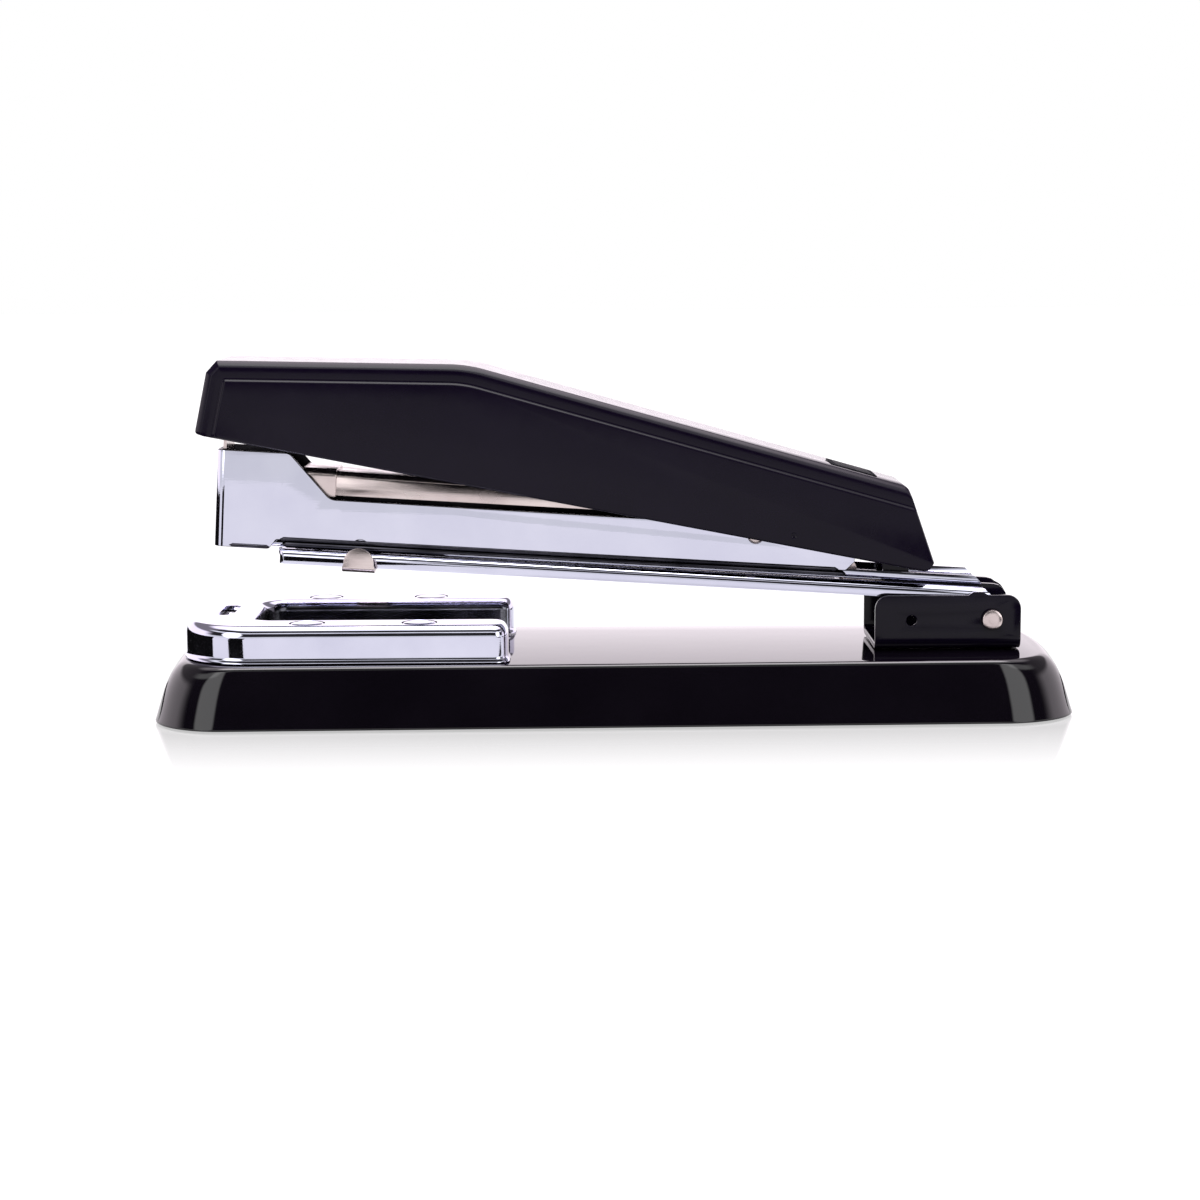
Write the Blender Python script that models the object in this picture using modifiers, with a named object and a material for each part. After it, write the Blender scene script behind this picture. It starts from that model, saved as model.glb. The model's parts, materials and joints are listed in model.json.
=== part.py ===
"""Full-strip desk stapler, nose towards -X, base centred on the origin and standing on Z = 0.

The base carries a horseshoe-shaped anvil frame and a rear bracket. Everything above them turns on one
cross pin: the lower arm with its staple track, the sheath that covers the track, and the handle.
The head (arm, sheath and handle) is modelled level, in its own frame, whose origin is the pin and
whose X runs along the track. An empty tilts that frame to the open rest position.
"""

import math

import bmesh
import bpy

MM = 0.001
GAP = 0.3                    # clearance between neighbouring pieces

# Base
BASE_LENGTH = 200.0
BASE_WIDTH = 64.0
BASE_HEIGHT = 13.4
BASE_SHEET = 1.2
BASE_REAR_SCALE = 0.88       # rear width over front width

# Anvil frame, a horseshoe that is open towards the rear
ANVIL_FRONT = -93.0
ANVIL_REAR = -22.7
ANVIL_HALF_WIDTH = 25.5
ANVIL_TOP = 21.6
ANVIL_OPENING = 14.3         # half width of the space between the legs
ANVIL_OPENING_FRONT = -78.0
ANVIL_SHEET = 1.0
ANVIL_SLOT_X = -85.0
RIVET_SPOTS = (-65.6, -41.6)

# Main pin and the head's rest angle
PIN_X = 81.9
PIN_Z = 20.2
PIN_RADIUS = 1.5
HEAD_TILT = math.radians(3.55)

# Rear bracket
BRACKET_FRONT = 56.6
BRACKET_REAR = 88.2
BRACKET_OUTER = 12.3
BRACKET_SHEET = 1.3
BRACKET_TOP = 25.5

# Head, measured from the pin along the track
ARM_FRONT = -155.4
ARM_OUTER = 10.3
ARM_TOP = 6.5
ARM_LIP = 3.5                # height of the flange's lower edge
ARM_SHEET = 1.0
TRACK_FRONT = -166.9
TRACK_OUTER = 7.4
TRACK_FLOOR = ARM_TOP + GAP
TRACK_SHEET = 0.7
TRACK_WALL = 13.0
REAR_SLOT = -33.0            # behind this the web and the floor are open for the hinge plates
NOSE_FRONT = -169.5
NOSE_TOP = 27.3
NOSE_BOTTOM = 6.3
SHEATH_OUTER = 8.5
SHEATH_SHEET = 0.8
SHEATH_LIP = 8.45
SHEATH_REAR = -30.5
CHANNEL_TOP = 22.3
CHANNEL_OUTER = 7.0
CHANNEL_FRONT = -151.0
CHANNEL_REAR = -48.5
HINGE_OUTER = 4.5
FRAME_OUTER = 6.0
PLATE = 1.2                  # sheet of the hinge plates and the handle frame
HANDLE_HALF_WIDTH = 13.0
HANDLE_WALL = 1.5
STRIP_LENGTH = 50.0
ROD_HEIGHT = 10.8
REAR_STOP = -37.0


# ---------------------------------------------------------------- scene and materials

def clear_scene():
    for obj in list(bpy.data.objects):
        bpy.data.objects.remove(obj, do_unlink=True)


def new_collection(name):
    collection = bpy.data.collections.new(name)
    bpy.context.scene.collection.children.link(collection)
    return collection


def material(name, color, roughness, metallic):
    mat = bpy.data.materials.new(name)
    mat.use_nodes = True
    shader = mat.node_tree.nodes["Principled BSDF"]
    shader.inputs["Base Color"].default_value = (*color, 1.0)
    shader.inputs["Roughness"].default_value = roughness
    shader.inputs["Metallic"].default_value = metallic
    return mat


clear_scene()
PARTS = new_collection("desk_stapler")
CUTTERS = new_collection("cutters")

BLACK_GLOSS = material("black_enamel", (0.008, 0.007, 0.010), 0.12, 0.0)
BLACK_SATIN = material("black_satin", (0.014, 0.012, 0.018), 0.38, 0.0)
BLACK_STEEL = material("black_steel", (0.012, 0.011, 0.015), 0.30, 0.0)
CHROME = material("bright_chrome", (0.66, 0.66, 0.74), 0.12, 1.0)
NICKEL = material("warm_nickel", (0.60, 0.52, 0.50), 0.25, 1.0)
STEEL = material("plain_steel", (0.45, 0.45, 0.47), 0.35, 1.0)
SPRING = material("spring_steel", (0.30, 0.30, 0.32), 0.30, 1.0)
RUBBER = material("sole_rubber", (0.020, 0.020, 0.020), 0.85, 0.0)
LABEL = material("blank_label", (0.055, 0.055, 0.060), 0.45, 0.0)


# ---------------------------------------------------------------- building helpers

def axis_empty(name, parent=None, location=(0.0, 0.0, 0.0), tilt=0.0):
    """An empty on a joint's axis. What moves with the joint is parented to it."""
    empty = bpy.data.objects.new(name, None)
    empty.parent = parent
    empty.location = [value * MM for value in location]
    empty.rotation_euler = (0.0, tilt, 0.0)
    PARTS.objects.link(empty)
    return empty


def add_object(name, mesh, mat=None, parent=None):
    """A part, or a cutter when it is given no material."""
    obj = bpy.data.objects.new(name, mesh)
    obj.parent = parent
    if mat is None:
        CUTTERS.objects.link(obj)
        obj.hide_render = True
        obj.display_type = "WIRE"
    else:
        PARTS.objects.link(obj)
        mesh.materials.append(mat)
    return obj


def mesh_from(bm, name, smooth_angle=35.0):
    """Turns millimetres into metres and shades the curved stretches smooth."""
    bmesh.ops.recalc_face_normals(bm, faces=bm.faces)
    if all(edge.is_manifold for edge in bm.edges) and bm.calc_volume(signed=True) < 0.0:
        bmesh.ops.reverse_faces(bm, faces=bm.faces)
    bmesh.ops.scale(bm, vec=(MM, MM, MM), verts=bm.verts)
    mesh = bpy.data.meshes.new(name)
    bm.to_mesh(mesh)
    bm.free()
    mesh.shade_smooth()
    mesh.set_sharp_from_angle(angle=math.radians(smooth_angle))
    return mesh


def rounded(corners, steps=4):
    """A closed outline from (x, y, radius) corners, each turned into an arc."""
    outline = []
    count = len(corners)
    for index, (x, y, radius) in enumerate(corners):
        if radius == 0.0:
            outline.append((x, y))
            continue
        before = corners[index - 1]
        after = corners[(index + 1) % count]
        inward = [before[0] - x, before[1] - y]
        onward = [after[0] - x, after[1] - y]
        for side in (inward, onward):
            length = math.hypot(*side)
            side[0] /= length
            side[1] /= length
        turn = math.acos(max(-1.0, min(1.0, inward[0] * onward[0] + inward[1] * onward[1])))
        reach = radius / math.tan(turn / 2.0)
        middle = [inward[0] + onward[0], inward[1] + onward[1]]
        scale = radius / math.sin(turn / 2.0) / math.hypot(*middle)
        centre = (x + middle[0] * scale, y + middle[1] * scale)
        start = math.atan2(y + inward[1] * reach - centre[1], x + inward[0] * reach - centre[0])
        end = math.atan2(y + onward[1] * reach - centre[1], x + onward[0] * reach - centre[0])
        sweep = (end - start + math.pi) % (2.0 * math.pi) - math.pi
        for step in range(steps + 1):
            angle = start + sweep * step / steps
            outline.append((centre[0] + radius * math.cos(angle), centre[1] + radius * math.sin(angle)))
    return outline


def eye_arc(radius, start, end, step=15):
    """Corners along the round end of a plate that turns on the pin, between two angles in degrees."""
    angles = [math.radians(degrees) for degrees in range(start, end + 1, step)]
    return [(radius * math.cos(angle), radius * math.sin(angle), 0.0) for angle in angles]


def prism(name, outline, low, high, along="Y"):
    """A flat outline extruded from low to high. Along Y the outline is (x, z); along Z it is (x, y)."""
    curve = bpy.data.curves.new(name, "CURVE")
    curve.dimensions = "2D"
    curve.fill_mode = "BOTH"
    curve.extrude = (high - low) / 2.0
    spline = curve.splines.new("POLY")
    spline.points.add(len(outline) - 1)
    for point, (x, y) in zip(spline.points, outline):
        point.co = (x, y, 0.0, 1.0)
    spline.use_cyclic_u = True
    obj = bpy.data.objects.new(name, curve)
    CUTTERS.objects.link(obj)
    graph = bpy.context.evaluated_depsgraph_get()
    mesh = bpy.data.meshes.new_from_object(obj.evaluated_get(graph))
    bpy.data.objects.remove(obj, do_unlink=True)
    bpy.data.curves.remove(curve)
    bm = bmesh.new()
    bm.from_mesh(mesh)
    bpy.data.meshes.remove(mesh)
    bmesh.ops.remove_doubles(bm, verts=bm.verts, dist=0.001)
    middle = (low + high) / 2.0
    for vert in bm.verts:
        x, y, z = vert.co
        vert.co = (x, z + middle, y) if along == "Y" else (x, y, z + middle)
    return bm


def loft(rings):
    """A closed body through rings of (x, y, z) points, all with the same number of points."""
    bm = bmesh.new()
    layers = [[bm.verts.new(point) for point in ring] for ring in rings]
    bm.faces.new(layers[0])
    bm.faces.new(layers[-1])
    for upper, lower in zip(layers, layers[1:]):
        for index in range(len(upper)):
            after = (index + 1) % len(upper)
            bm.faces.new((upper[index], upper[after], lower[after], lower[index]))
    return bm


def inset_corners(corners, insets):
    """Corners of a clockwise outline after each edge moves inwards by its own inset."""
    lines = []
    for index, inset in enumerate(insets):
        x, y, _ = corners[index]
        next_x, next_y, _ = corners[(index + 1) % len(corners)]
        length = math.hypot(next_x - x, next_y - y)
        along = ((next_x - x) / length, (next_y - y) / length)
        lines.append((x + along[1] * inset, y - along[0] * inset, along))
    moved = []
    for index, (_, _, radius) in enumerate(corners):
        ax, ay, (adx, ady) = lines[index - 1]
        bx, by, (bdx, bdy) = lines[index]
        travel = ((bx - ax) * bdy - (by - ay) * bdx) / (adx * bdy - ady * bdx)
        moved.append((ax + adx * travel, ay + ady * travel, radius))
    return moved


def block(low, high, bevel=0.0, segments=2):
    """A box between two corners, with its edges rounded."""
    bm = bmesh.new()
    bmesh.ops.create_cube(bm, size=1.0)
    size = [b - a for a, b in zip(low, high)]
    middle = [(a + b) / 2.0 for a, b in zip(low, high)]
    bmesh.ops.scale(bm, vec=size, verts=bm.verts)
    bmesh.ops.translate(bm, vec=middle, verts=bm.verts)
    if bevel:
        bmesh.ops.bevel(bm, geom=bm.edges[:], offset=bevel, segments=segments, profile=0.5, affect="EDGES")
    return bm


def add_rod(bm, centre, radius, length, along, segments=20):
    """A solid cylinder about its centre, along X, Y or Z."""
    made = bmesh.ops.create_cone(
        bm, cap_ends=True, segments=segments, radius1=radius, radius2=radius, depth=length
    )
    for vert in made["verts"]:
        x, y, z = vert.co
        laid = {"X": (z, x, y), "Y": (y, z, x), "Z": (x, y, z)}[along]
        vert.co = [a + b for a, b in zip(laid, centre)]


def rod(centre, radius, length, along, segments=20):
    bm = bmesh.new()
    add_rod(bm, centre, radius, length, along, segments)
    return bm


def turned(name, profile, centre, along, mat, parent=None, steps=20):
    """A turned piece. The profile is (radius, height) from the top down, about Z before it is laid over."""
    bm = bmesh.new()
    verts = [bm.verts.new((radius * MM, 0.0, height * MM)) for radius, height in profile]
    for first, second in zip(verts, verts[1:]):
        bm.edges.new((first, second))
    mesh = bpy.data.meshes.new(name)
    bm.to_mesh(mesh)
    bm.free()
    obj = add_object(name, mesh, mat, parent)
    screw = obj.modifiers.new("turn", "SCREW")
    screw.steps = steps
    screw.render_steps = steps
    screw.use_merge_vertices = True
    screw.merge_threshold = 0.00001
    screw.use_smooth_shade = False
    obj.location = [value * MM for value in centre]
    quarter = math.pi / 2.0
    obj.rotation_euler = {"X": (0.0, quarter, 0.0), "Y": (-quarter, 0.0, 0.0), "Z": (0.0, 0.0, 0.0)}[along]
    return obj


def rivet(name, head_radius, head_height, shank_radius, top, bottom, x, y, mat, parent=None):
    """A domed rivet on a vertical axis, with its head resting at height top."""
    foot = bottom - top
    profile = [
        (0.0, head_height),
        (head_radius * 0.55, head_height * 0.86),
        (head_radius * 0.88, head_height * 0.5),
        (head_radius, 0.0),
        (shank_radius, 0.0),
        (shank_radius, foot),
        (0.0, foot),
    ]
    return turned(name, profile, (x, y, top), "Z", mat, parent, steps=16)


def sheet_surface(profile, start, end, along="X"):
    """An open sheet: a profile of (y, z) points drawn along X, or of (x, z) points drawn along Y."""
    bm = bmesh.new()
    if along == "X":
        verts = [bm.verts.new((start, a, b)) for a, b in profile]
        travel = (end - start, 0.0, 0.0)
    else:
        verts = [bm.verts.new((a, start, b)) for a, b in profile]
        travel = (0.0, end - start, 0.0)
    edges = [bm.edges.new(pair) for pair in zip(verts, verts[1:])]
    made = bmesh.ops.extrude_edge_only(bm, edges=edges)
    moved = [item for item in made["geom"] if isinstance(item, bmesh.types.BMVert)]
    bmesh.ops.translate(bm, vec=travel, verts=moved)
    return bm


def thicken(obj, sheet, offset=0.0):
    solid = obj.modifiers.new("sheet", "SOLIDIFY")
    solid.thickness = sheet * MM
    solid.offset = offset
    solid.use_even_offset = True


def channel_profile(half_width, web, lip, bend, steps=3):
    """Mid-line (y, z) of a channel: a web with one flange at each side, joined by round bends."""
    side = 1.0 if lip > web else -1.0
    points = [(-half_width, lip)]
    for step in range(steps + 1):
        angle = math.pi / 2.0 * step / steps
        points.append(
            (-half_width + bend * (1.0 - math.cos(angle)), web + side * bend * (1.0 - math.sin(angle)))
        )
    return points + [(-y, z) for y, z in reversed(points)]


def channel(name, start, end, outer, face, lip, sheet, bend, mat, parent):
    """A sheet channel: half its outer width, its web's outer height and the height of its flange edges."""
    side = 1.0 if lip > face else -1.0
    profile = channel_profile(outer - sheet / 2.0, face + side * sheet / 2.0, lip, bend)
    mesh = mesh_from(sheet_surface(profile, start, end), name)
    obj = add_object(name, mesh, mat, parent)
    thicken(obj, sheet)
    return obj


def boolean(obj, operation, bm, label, solver="EXACT"):
    """Cuts, trims or joins obj with a hidden body that shares its parent."""
    name = f"{obj.name}_{label}"
    tool = add_object(name, mesh_from(bm, name), None, obj.parent)
    step = obj.modifiers.new(label, "BOOLEAN")
    step.operation = operation
    step.object = tool
    step.solver = solver
    return obj


def solid(name, bm, mat, parent=None):
    return add_object(name, mesh_from(bm, name), mat, parent)


def drill(obj, spots, radius, length, along, label="bore"):
    """Round holes, one for each centre in spots, cut together."""
    bm = bmesh.new()
    for centre in spots:
        add_rod(bm, centre, radius, length, along)
    return boolean(obj, "DIFFERENCE", bm, label)


def coil(name, points, wire, mat, parent=None):
    """A wire through the points, as a closed tube."""
    curve = bpy.data.curves.new(name, "CURVE")
    curve.dimensions = "3D"
    curve.bevel_depth = wire / 2.0 * MM
    curve.bevel_resolution = 1
    curve.use_fill_caps = True
    spline = curve.splines.new("POLY")
    spline.points.add(len(points) - 1)
    for point, place in zip(spline.points, points):
        point.co = (*[value * MM for value in place], 1.0)
    curve.materials.append(mat)
    obj = bpy.data.objects.new(name, curve)
    obj.parent = parent
    PARTS.objects.link(obj)
    return obj


# ---------------------------------------------------------------- base

def base_outline(end_inset, side_inset, arc_steps=8, end_steps=3):
    """Plan of the base: elliptical corners, gently convex ends, and sides that close in to the rear."""
    half_length = BASE_LENGTH / 2.0 - end_inset
    half_width = BASE_WIDTH / 2.0 - side_inset
    bulge = 3.0
    corner_x = 14.0 - end_inset / 2.0
    corner_y = 15.0 - side_inset
    quarter = []
    for step in range(arc_steps + 1):
        angle = math.pi / 2.0 * step / arc_steps
        x = half_length - corner_x * (1.0 - math.sin(angle))
        y = half_width - corner_y * (1.0 - math.cos(angle))
        quarter.append((x, y))
    flat = half_width - corner_y
    quarter += [(half_length, flat * (1.0 - step / end_steps)) for step in range(1, end_steps + 1)]
    quarter = [(x - bulge * (y / half_width) ** 2, y) for x, y in quarter]
    rear = quarter + [(x, -y) for x, y in reversed(quarter[:-1])]
    loop = rear + [(-x, y) for x, y in reversed(rear)]

    def closed_in(x, y):
        share = (x + half_length) / (2.0 * half_length)
        return x, y * (1.0 - (1.0 - BASE_REAR_SCALE) * share)

    return [closed_in(x, y) for x, y in loop]


def base_ring(end_inset, side_inset, height):
    return [(x, y, height) for x, y in base_outline(end_inset, side_inset)]


def make_base():
    """A hollow shell. Its ends curve in towards the top more than its long sides do."""
    skin = [(7.2, 4.0, BASE_HEIGHT), (6.1, 3.35, 13.15), (5.0, 3.0, 12.4), (3.7, 2.6, 10.8)]
    skin += [(2.5, 2.0, 8.4), (1.35, 1.15, 5.0), (0.45, 0.4, 1.8), (0.0, 0.0, GAP)]
    shell = solid("base_shell", loft([base_ring(*ring) for ring in skin]), BLACK_GLOSS)
    space = [(7.8, 4.8, BASE_HEIGHT - BASE_SHEET), (5.2, 3.9, 10.2), (3.9, 3.3, 8.0), (2.6, 2.4, 4.8)]
    space += [(BASE_SHEET, BASE_SHEET, 0.0), (BASE_SHEET, BASE_SHEET, -1.0)]
    boolean(shell, "DIFFERENCE", loft([base_ring(*ring) for ring in space]), "hollow")

    pad_height = 3.0
    pad_inset = BASE_SHEET + GAP + 1.2
    pad_outline = base_outline(pad_inset, pad_inset)
    solid("sole_pad", prism("sole_pad", pad_outline, 0.0, pad_height, along="Z"), RUBBER)


def horseshoe_outline(inset=0.0):
    """Plan of the anvil frame, or the same plan drawn inset by a wall."""
    leg_end = 3.0 - inset
    front = 16.0 - inset
    inner = 5.0 + inset
    half = ANVIL_HALF_WIDTH - inset
    opening = ANVIL_OPENING + inset
    rear = ANVIL_REAR - inset
    bridge = ANVIL_OPENING_FRONT - inset
    return rounded(
        [
            (rear, -half, leg_end),
            (rear, -opening, leg_end),
            (bridge, -opening, inner),
            (bridge, opening, inner),
            (rear, opening, leg_end),
            (rear, half, leg_end),
            (ANVIL_FRONT + inset, half, front),
            (ANVIL_FRONT + inset, -half, front),
        ],
        steps=6,
    )


def horseshoe_ring(inset, height):
    return [(x, y, height) for x, y in horseshoe_outline(inset)]


def make_anvil():
    foot = BASE_HEIGHT + GAP
    edge = 1.2
    rings = [
        horseshoe_ring(edge, ANVIL_TOP),
        horseshoe_ring(edge * 0.3, ANVIL_TOP - edge * 0.3),
        horseshoe_ring(0.0, ANVIL_TOP - edge),
        horseshoe_ring(0.0, foot),
    ]
    frame = solid("anvil_frame", loft(rings), CHROME)
    hollow = [horseshoe_ring(ANVIL_SHEET, ANVIL_TOP - ANVIL_SHEET), horseshoe_ring(ANVIL_SHEET, foot - 1.0)]
    boolean(frame, "DIFFERENCE", loft(hollow), "hollow")

    pocket = 3.4
    pocket_width = 14.5
    slot_low = (ANVIL_SLOT_X - pocket / 2.0, -pocket_width / 2.0, ANVIL_TOP - 2.0)
    slot_high = (ANVIL_SLOT_X + pocket / 2.0, pocket_width / 2.0, ANVIL_TOP + 1.0)
    openings = block(slot_low, slot_high)
    spots = [(x, side * 20.0, ANVIL_TOP) for x in RIVET_SPOTS for side in (-1.0, 1.0)]
    rivet_radius = 3.6
    for spot in spots:
        add_rod(openings, spot, rivet_radius + GAP, 4.0, "Z")
    boolean(frame, "DIFFERENCE", openings, "openings")

    plate_top = ANVIL_TOP - ANVIL_SHEET - GAP
    plate = solid(
        "anvil_plate",
        block((ANVIL_SLOT_X - 3.5, -9.5, plate_top - 2.0), (ANVIL_SLOT_X + 3.5, 9.5, plate_top), 0.3, 1),
        STEEL,
    )
    for label, side in (("groove_near", -3.2), ("groove_far", 3.2)):
        groove = rod((ANVIL_SLOT_X, side, plate_top + 1.6), 2.4, 1.6, "X")
        boolean(plate, "DIFFERENCE", groove, label)

    for number, (x, y, _) in enumerate(spots, 1):
        shank = rivet_radius / 2.0
        foot_depth = BASE_HEIGHT + GAP - ANVIL_TOP - 0.1
        profile = [
            (0.0, 0.0),
            (rivet_radius - 0.3, 0.0),
            (rivet_radius, -0.3),
            (rivet_radius, -1.6),
            (shank, -1.6),
            (shank, foot_depth),
            (0.0, foot_depth),
        ]
        turned(f"anvil_rivet_{number}", profile, (x, y, ANVIL_TOP + 0.1), "Z", CHROME)


def make_bracket():
    floor = BASE_HEIGHT + GAP
    bracket = channel(
        "rear_bracket", BRACKET_FRONT - 1.0, BRACKET_REAR + 1.0, BRACKET_OUTER, floor, BRACKET_TOP + 3.0,
        BRACKET_SHEET, 1.6, BLACK_STEEL, None,
    )
    bump = PIN_X - 3.0
    side_view = rounded(
        [
            (BRACKET_FRONT, floor - 1.0, 0.0),
            (BRACKET_REAR, floor - 1.0, 0.0),
            (BRACKET_REAR, BRACKET_TOP, 3.0),
            (bump + 1.9, BRACKET_TOP, 0.0),
            (bump + 1.0, BRACKET_TOP + 0.7, 0.6),
            (bump - 1.0, BRACKET_TOP + 0.7, 0.6),
            (bump - 1.9, BRACKET_TOP, 0.0),
            (BRACKET_FRONT, BRACKET_TOP, 3.0),
        ]
    )
    boolean(bracket, "INTERSECT", prism("side", side_view, -20.0, 20.0), "side_view")
    drill(bracket, [(PIN_X, 0.0, PIN_Z)], PIN_RADIUS + GAP, 40.0, "Y", "pin_hole")
    drill(bracket, [(64.5, 0.0, 20.0)], 1.15, 40.0, "Y", "side_hole")

    floor_top = floor + BRACKET_SHEET
    for number, x in enumerate((60.5, 70.5), 1):
        drill(bracket, [(x, 0.0, floor)], 1.5, 6.0, "Z", f"rivet_hole_{number}")
        rivet(f"bracket_rivet_{number}", 2.6, 1.2, 1.2, floor_top + GAP, floor + 0.1, x, 0.0, BLACK_STEEL)


def make_pin():
    head = 2.25
    reach = BRACKET_OUTER + GAP
    half = [(0.0, reach + 1.1), (head * 0.6, reach + 0.95), (head * 0.92, reach + 0.5), (head, reach)]
    half += [(PIN_RADIUS, reach)]
    profile = half + [(radius, -height) for radius, height in reversed(half)]
    turned("pivot_pin", profile, (PIN_X, 0.0, PIN_Z), "Y", NICKEL, steps=24)

    bore = PIN_RADIUS + GAP
    for name, side in (("pivot_bushing_near", -1.0), ("pivot_bushing_far", 1.0)):
        middle = side * (FRAME_OUTER + ARM_OUTER - ARM_SHEET) / 2.0
        half_length = (ARM_OUTER - ARM_SHEET - FRAME_OUTER) / 2.0 - GAP
        outer = 3.0
        ring = [(bore, half_length), (outer, half_length), (outer, -half_length), (bore, -half_length)]
        ring.append(ring[0])
        turned(name, ring, (PIN_X, middle, PIN_Z), "Y", STEEL)


def make_return_spring():
    """Torsion spring on the pin: one leg on the bracket's floor, the other under the arm's web."""
    wire = 0.9
    radius = 2.6
    turns = 4
    points_per_turn = 12
    half_width = 2.4
    low_leg = (-16.0, -half_width, -4.4 + wire / 2.0)
    high_leg = (-36.5, half_width, ARM_TOP - ARM_SHEET - GAP - wire / 2.0)
    low_angle = math.radians(250.0)
    high_angle = math.radians(100.0)
    sweep = 2.0 * math.pi * turns + low_angle - high_angle
    steps = int(points_per_turn * sweep / (2.0 * math.pi))
    points = []
    for step in range(steps + 1):
        share = step / steps
        angle = low_angle - sweep * share
        across = half_width * (2.0 * share - 1.0)
        points.append((radius * math.cos(angle), across, radius * math.sin(angle)))
    tilt = HEAD_TILT

    def in_base(x, y, z):
        return x + PIN_X, y, z + PIN_Z

    lifted = (
        high_leg[0] * math.cos(tilt) + high_leg[2] * math.sin(tilt),
        high_leg[1],
        -high_leg[0] * math.sin(tilt) + high_leg[2] * math.cos(tilt),
    )
    path = [in_base(*low_leg)] + [in_base(*point) for point in points] + [in_base(*lifted)]
    coil("return_spring", path, wire, SPRING)


# ---------------------------------------------------------------- lower arm and staple track

def make_arm(parent):
    arm = channel(
        "lower_arm", ARM_FRONT - 2.0, 6.0, ARM_OUTER, ARM_TOP, -6.0, ARM_SHEET, 0.8, CHROME, parent
    )
    side_view = [(ARM_FRONT - 5.0, ARM_LIP, 0.0), (-26.0, ARM_LIP, 1.0), (-19.0, -2.6, 1.0)]
    side_view += eye_arc(4.4, 250, 355)
    side_view += [(4.0, 1.8, 0.0), (-3.4, ARM_TOP + 1.0, 0.0), (ARM_FRONT - 5.0, ARM_TOP + 1.0, 0.0)]
    boolean(arm, "INTERSECT", prism("side", rounded(side_view), -15.0, 15.0), "side_view")
    nose = rounded(
        [
            (ARM_FRONT, -ARM_OUTER - 0.5, 3.2),
            (20.0, -ARM_OUTER - 0.5, 0.0),
            (20.0, ARM_OUTER + 0.5, 0.0),
            (ARM_FRONT, ARM_OUTER + 0.5, 3.2),
        ]
    )
    boolean(arm, "INTERSECT", prism("plan", nose, -10.0, 12.0, along="Z"), "plan_view")
    slot_half = FRAME_OUTER + 0.4
    boolean(arm, "DIFFERENCE", block((REAR_SLOT, -slot_half, 2.0), (12.0, slot_half, 9.0)), "rear_slot")
    drill(arm, [(0.0, 0.0, 0.0)], PIN_RADIUS + GAP, 40.0, "Y", "pin_hole")

    clip = channel(
        "arm_clip", -141.2, -134.1, ARM_OUTER + 1.0, ARM_LIP - GAP - 0.7, 8.5, 0.7, 0.7, NICKEL, parent
    )
    centre = -137.65
    ear = [(centre - 3.55, 0.0), (centre + 3.55, 0.0), (centre + 3.55, 4.0)]
    for step in range(9):
        angle = math.pi * step / 8.0
        ear.append((centre + 3.3 * math.cos(angle), 4.5 + 3.3 * math.sin(angle)))
    ear += [(centre - 3.55, 4.0)]
    boolean(clip, "INTERSECT", prism("ear", ear, -15.0, 15.0), "ears")


def make_track(parent):
    track = channel(
        "staple_track", TRACK_FRONT, 2.0, TRACK_OUTER, TRACK_FLOOR, TRACK_WALL + 2.0, TRACK_SHEET, 0.6,
        CHROME, parent,
    )
    low_wall = 8.7
    side_view = [
        (TRACK_FRONT - 1.0, TRACK_FLOOR - 1.0),
        (-0.6, TRACK_FLOOR - 1.0),
        (-3.8, low_wall),
        (REAR_SLOT + 1.5, low_wall),
        (REAR_SLOT - 1.0, TRACK_WALL),
        (TRACK_FRONT - 1.0, TRACK_WALL),
    ]
    boolean(track, "INTERSECT", prism("side", side_view, -10.0, 10.0), "side_view")
    slot_half = FRAME_OUTER + 0.4
    boolean(track, "DIFFERENCE", block((REAR_SLOT, -slot_half, 5.0), (6.0, slot_half, 9.0)), "rear_slot")

    floor_top = TRACK_FLOOR + TRACK_SHEET
    for number, x in enumerate((-148.0, -70.0), 1):
        drill(track, [(x, 0.0, TRACK_FLOOR)], 1.2, 4.0, "Z", f"rivet_hole_{number}")
        drill(bpy.data.objects["lower_arm"], [(x, 0.0, ARM_TOP)], 1.2, 4.0, "Z", f"rivet_hole_{number}")
        foot = ARM_TOP - ARM_SHEET - 0.4
        rivet(f"track_rivet_{number}", 2.0, 0.6, 0.9, floor_top + GAP, foot, x, 0.0, STEEL, parent)

    feed_floor = floor_top + GAP
    solid(
        "staple_guide",
        block((TRACK_FRONT + 0.6, -5.5, feed_floor), (TRACK_FRONT + 9.0, 5.5, 13.3), 0.5),
        STEEL,
        parent,
    )
    strip_front = TRACK_FRONT + 0.3
    channel(
        "staple_strip", strip_front, strip_front + STRIP_LENGTH, 6.4, 14.3, feed_floor, 0.5, 0.5,
        STEEL, parent,
    )

    rod_front = TRACK_FRONT + 9.0 + GAP
    rod_rear = REAR_STOP + 4.0
    middle = ((rod_front + rod_rear) / 2.0, 0.0, ROD_HEIGHT)
    bm = rod(middle, 0.9, rod_rear - rod_front, "X", segments=16)
    solid("guide_rod", bm, STEEL, parent)
    lug_outline = rounded(
        [
            (REAR_STOP - 6.0, feed_floor, 0.0),
            (REAR_STOP + 2.0, feed_floor, 0.0),
            (REAR_STOP + 2.0, 14.0, 1.5),
            (REAR_STOP, 14.0, 0.6),
            (REAR_STOP, feed_floor + 0.6, 0.4),
            (REAR_STOP - 6.0, feed_floor + 0.6, 0.2),
        ]
    )
    lug = solid("rear_stop", prism("rear_stop", lug_outline, -2.9, 2.9), STEEL, parent)
    drill(lug, [(REAR_STOP, 0.0, ROD_HEIGHT)], 1.2, 10.0, "X", "rod_hole")


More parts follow.
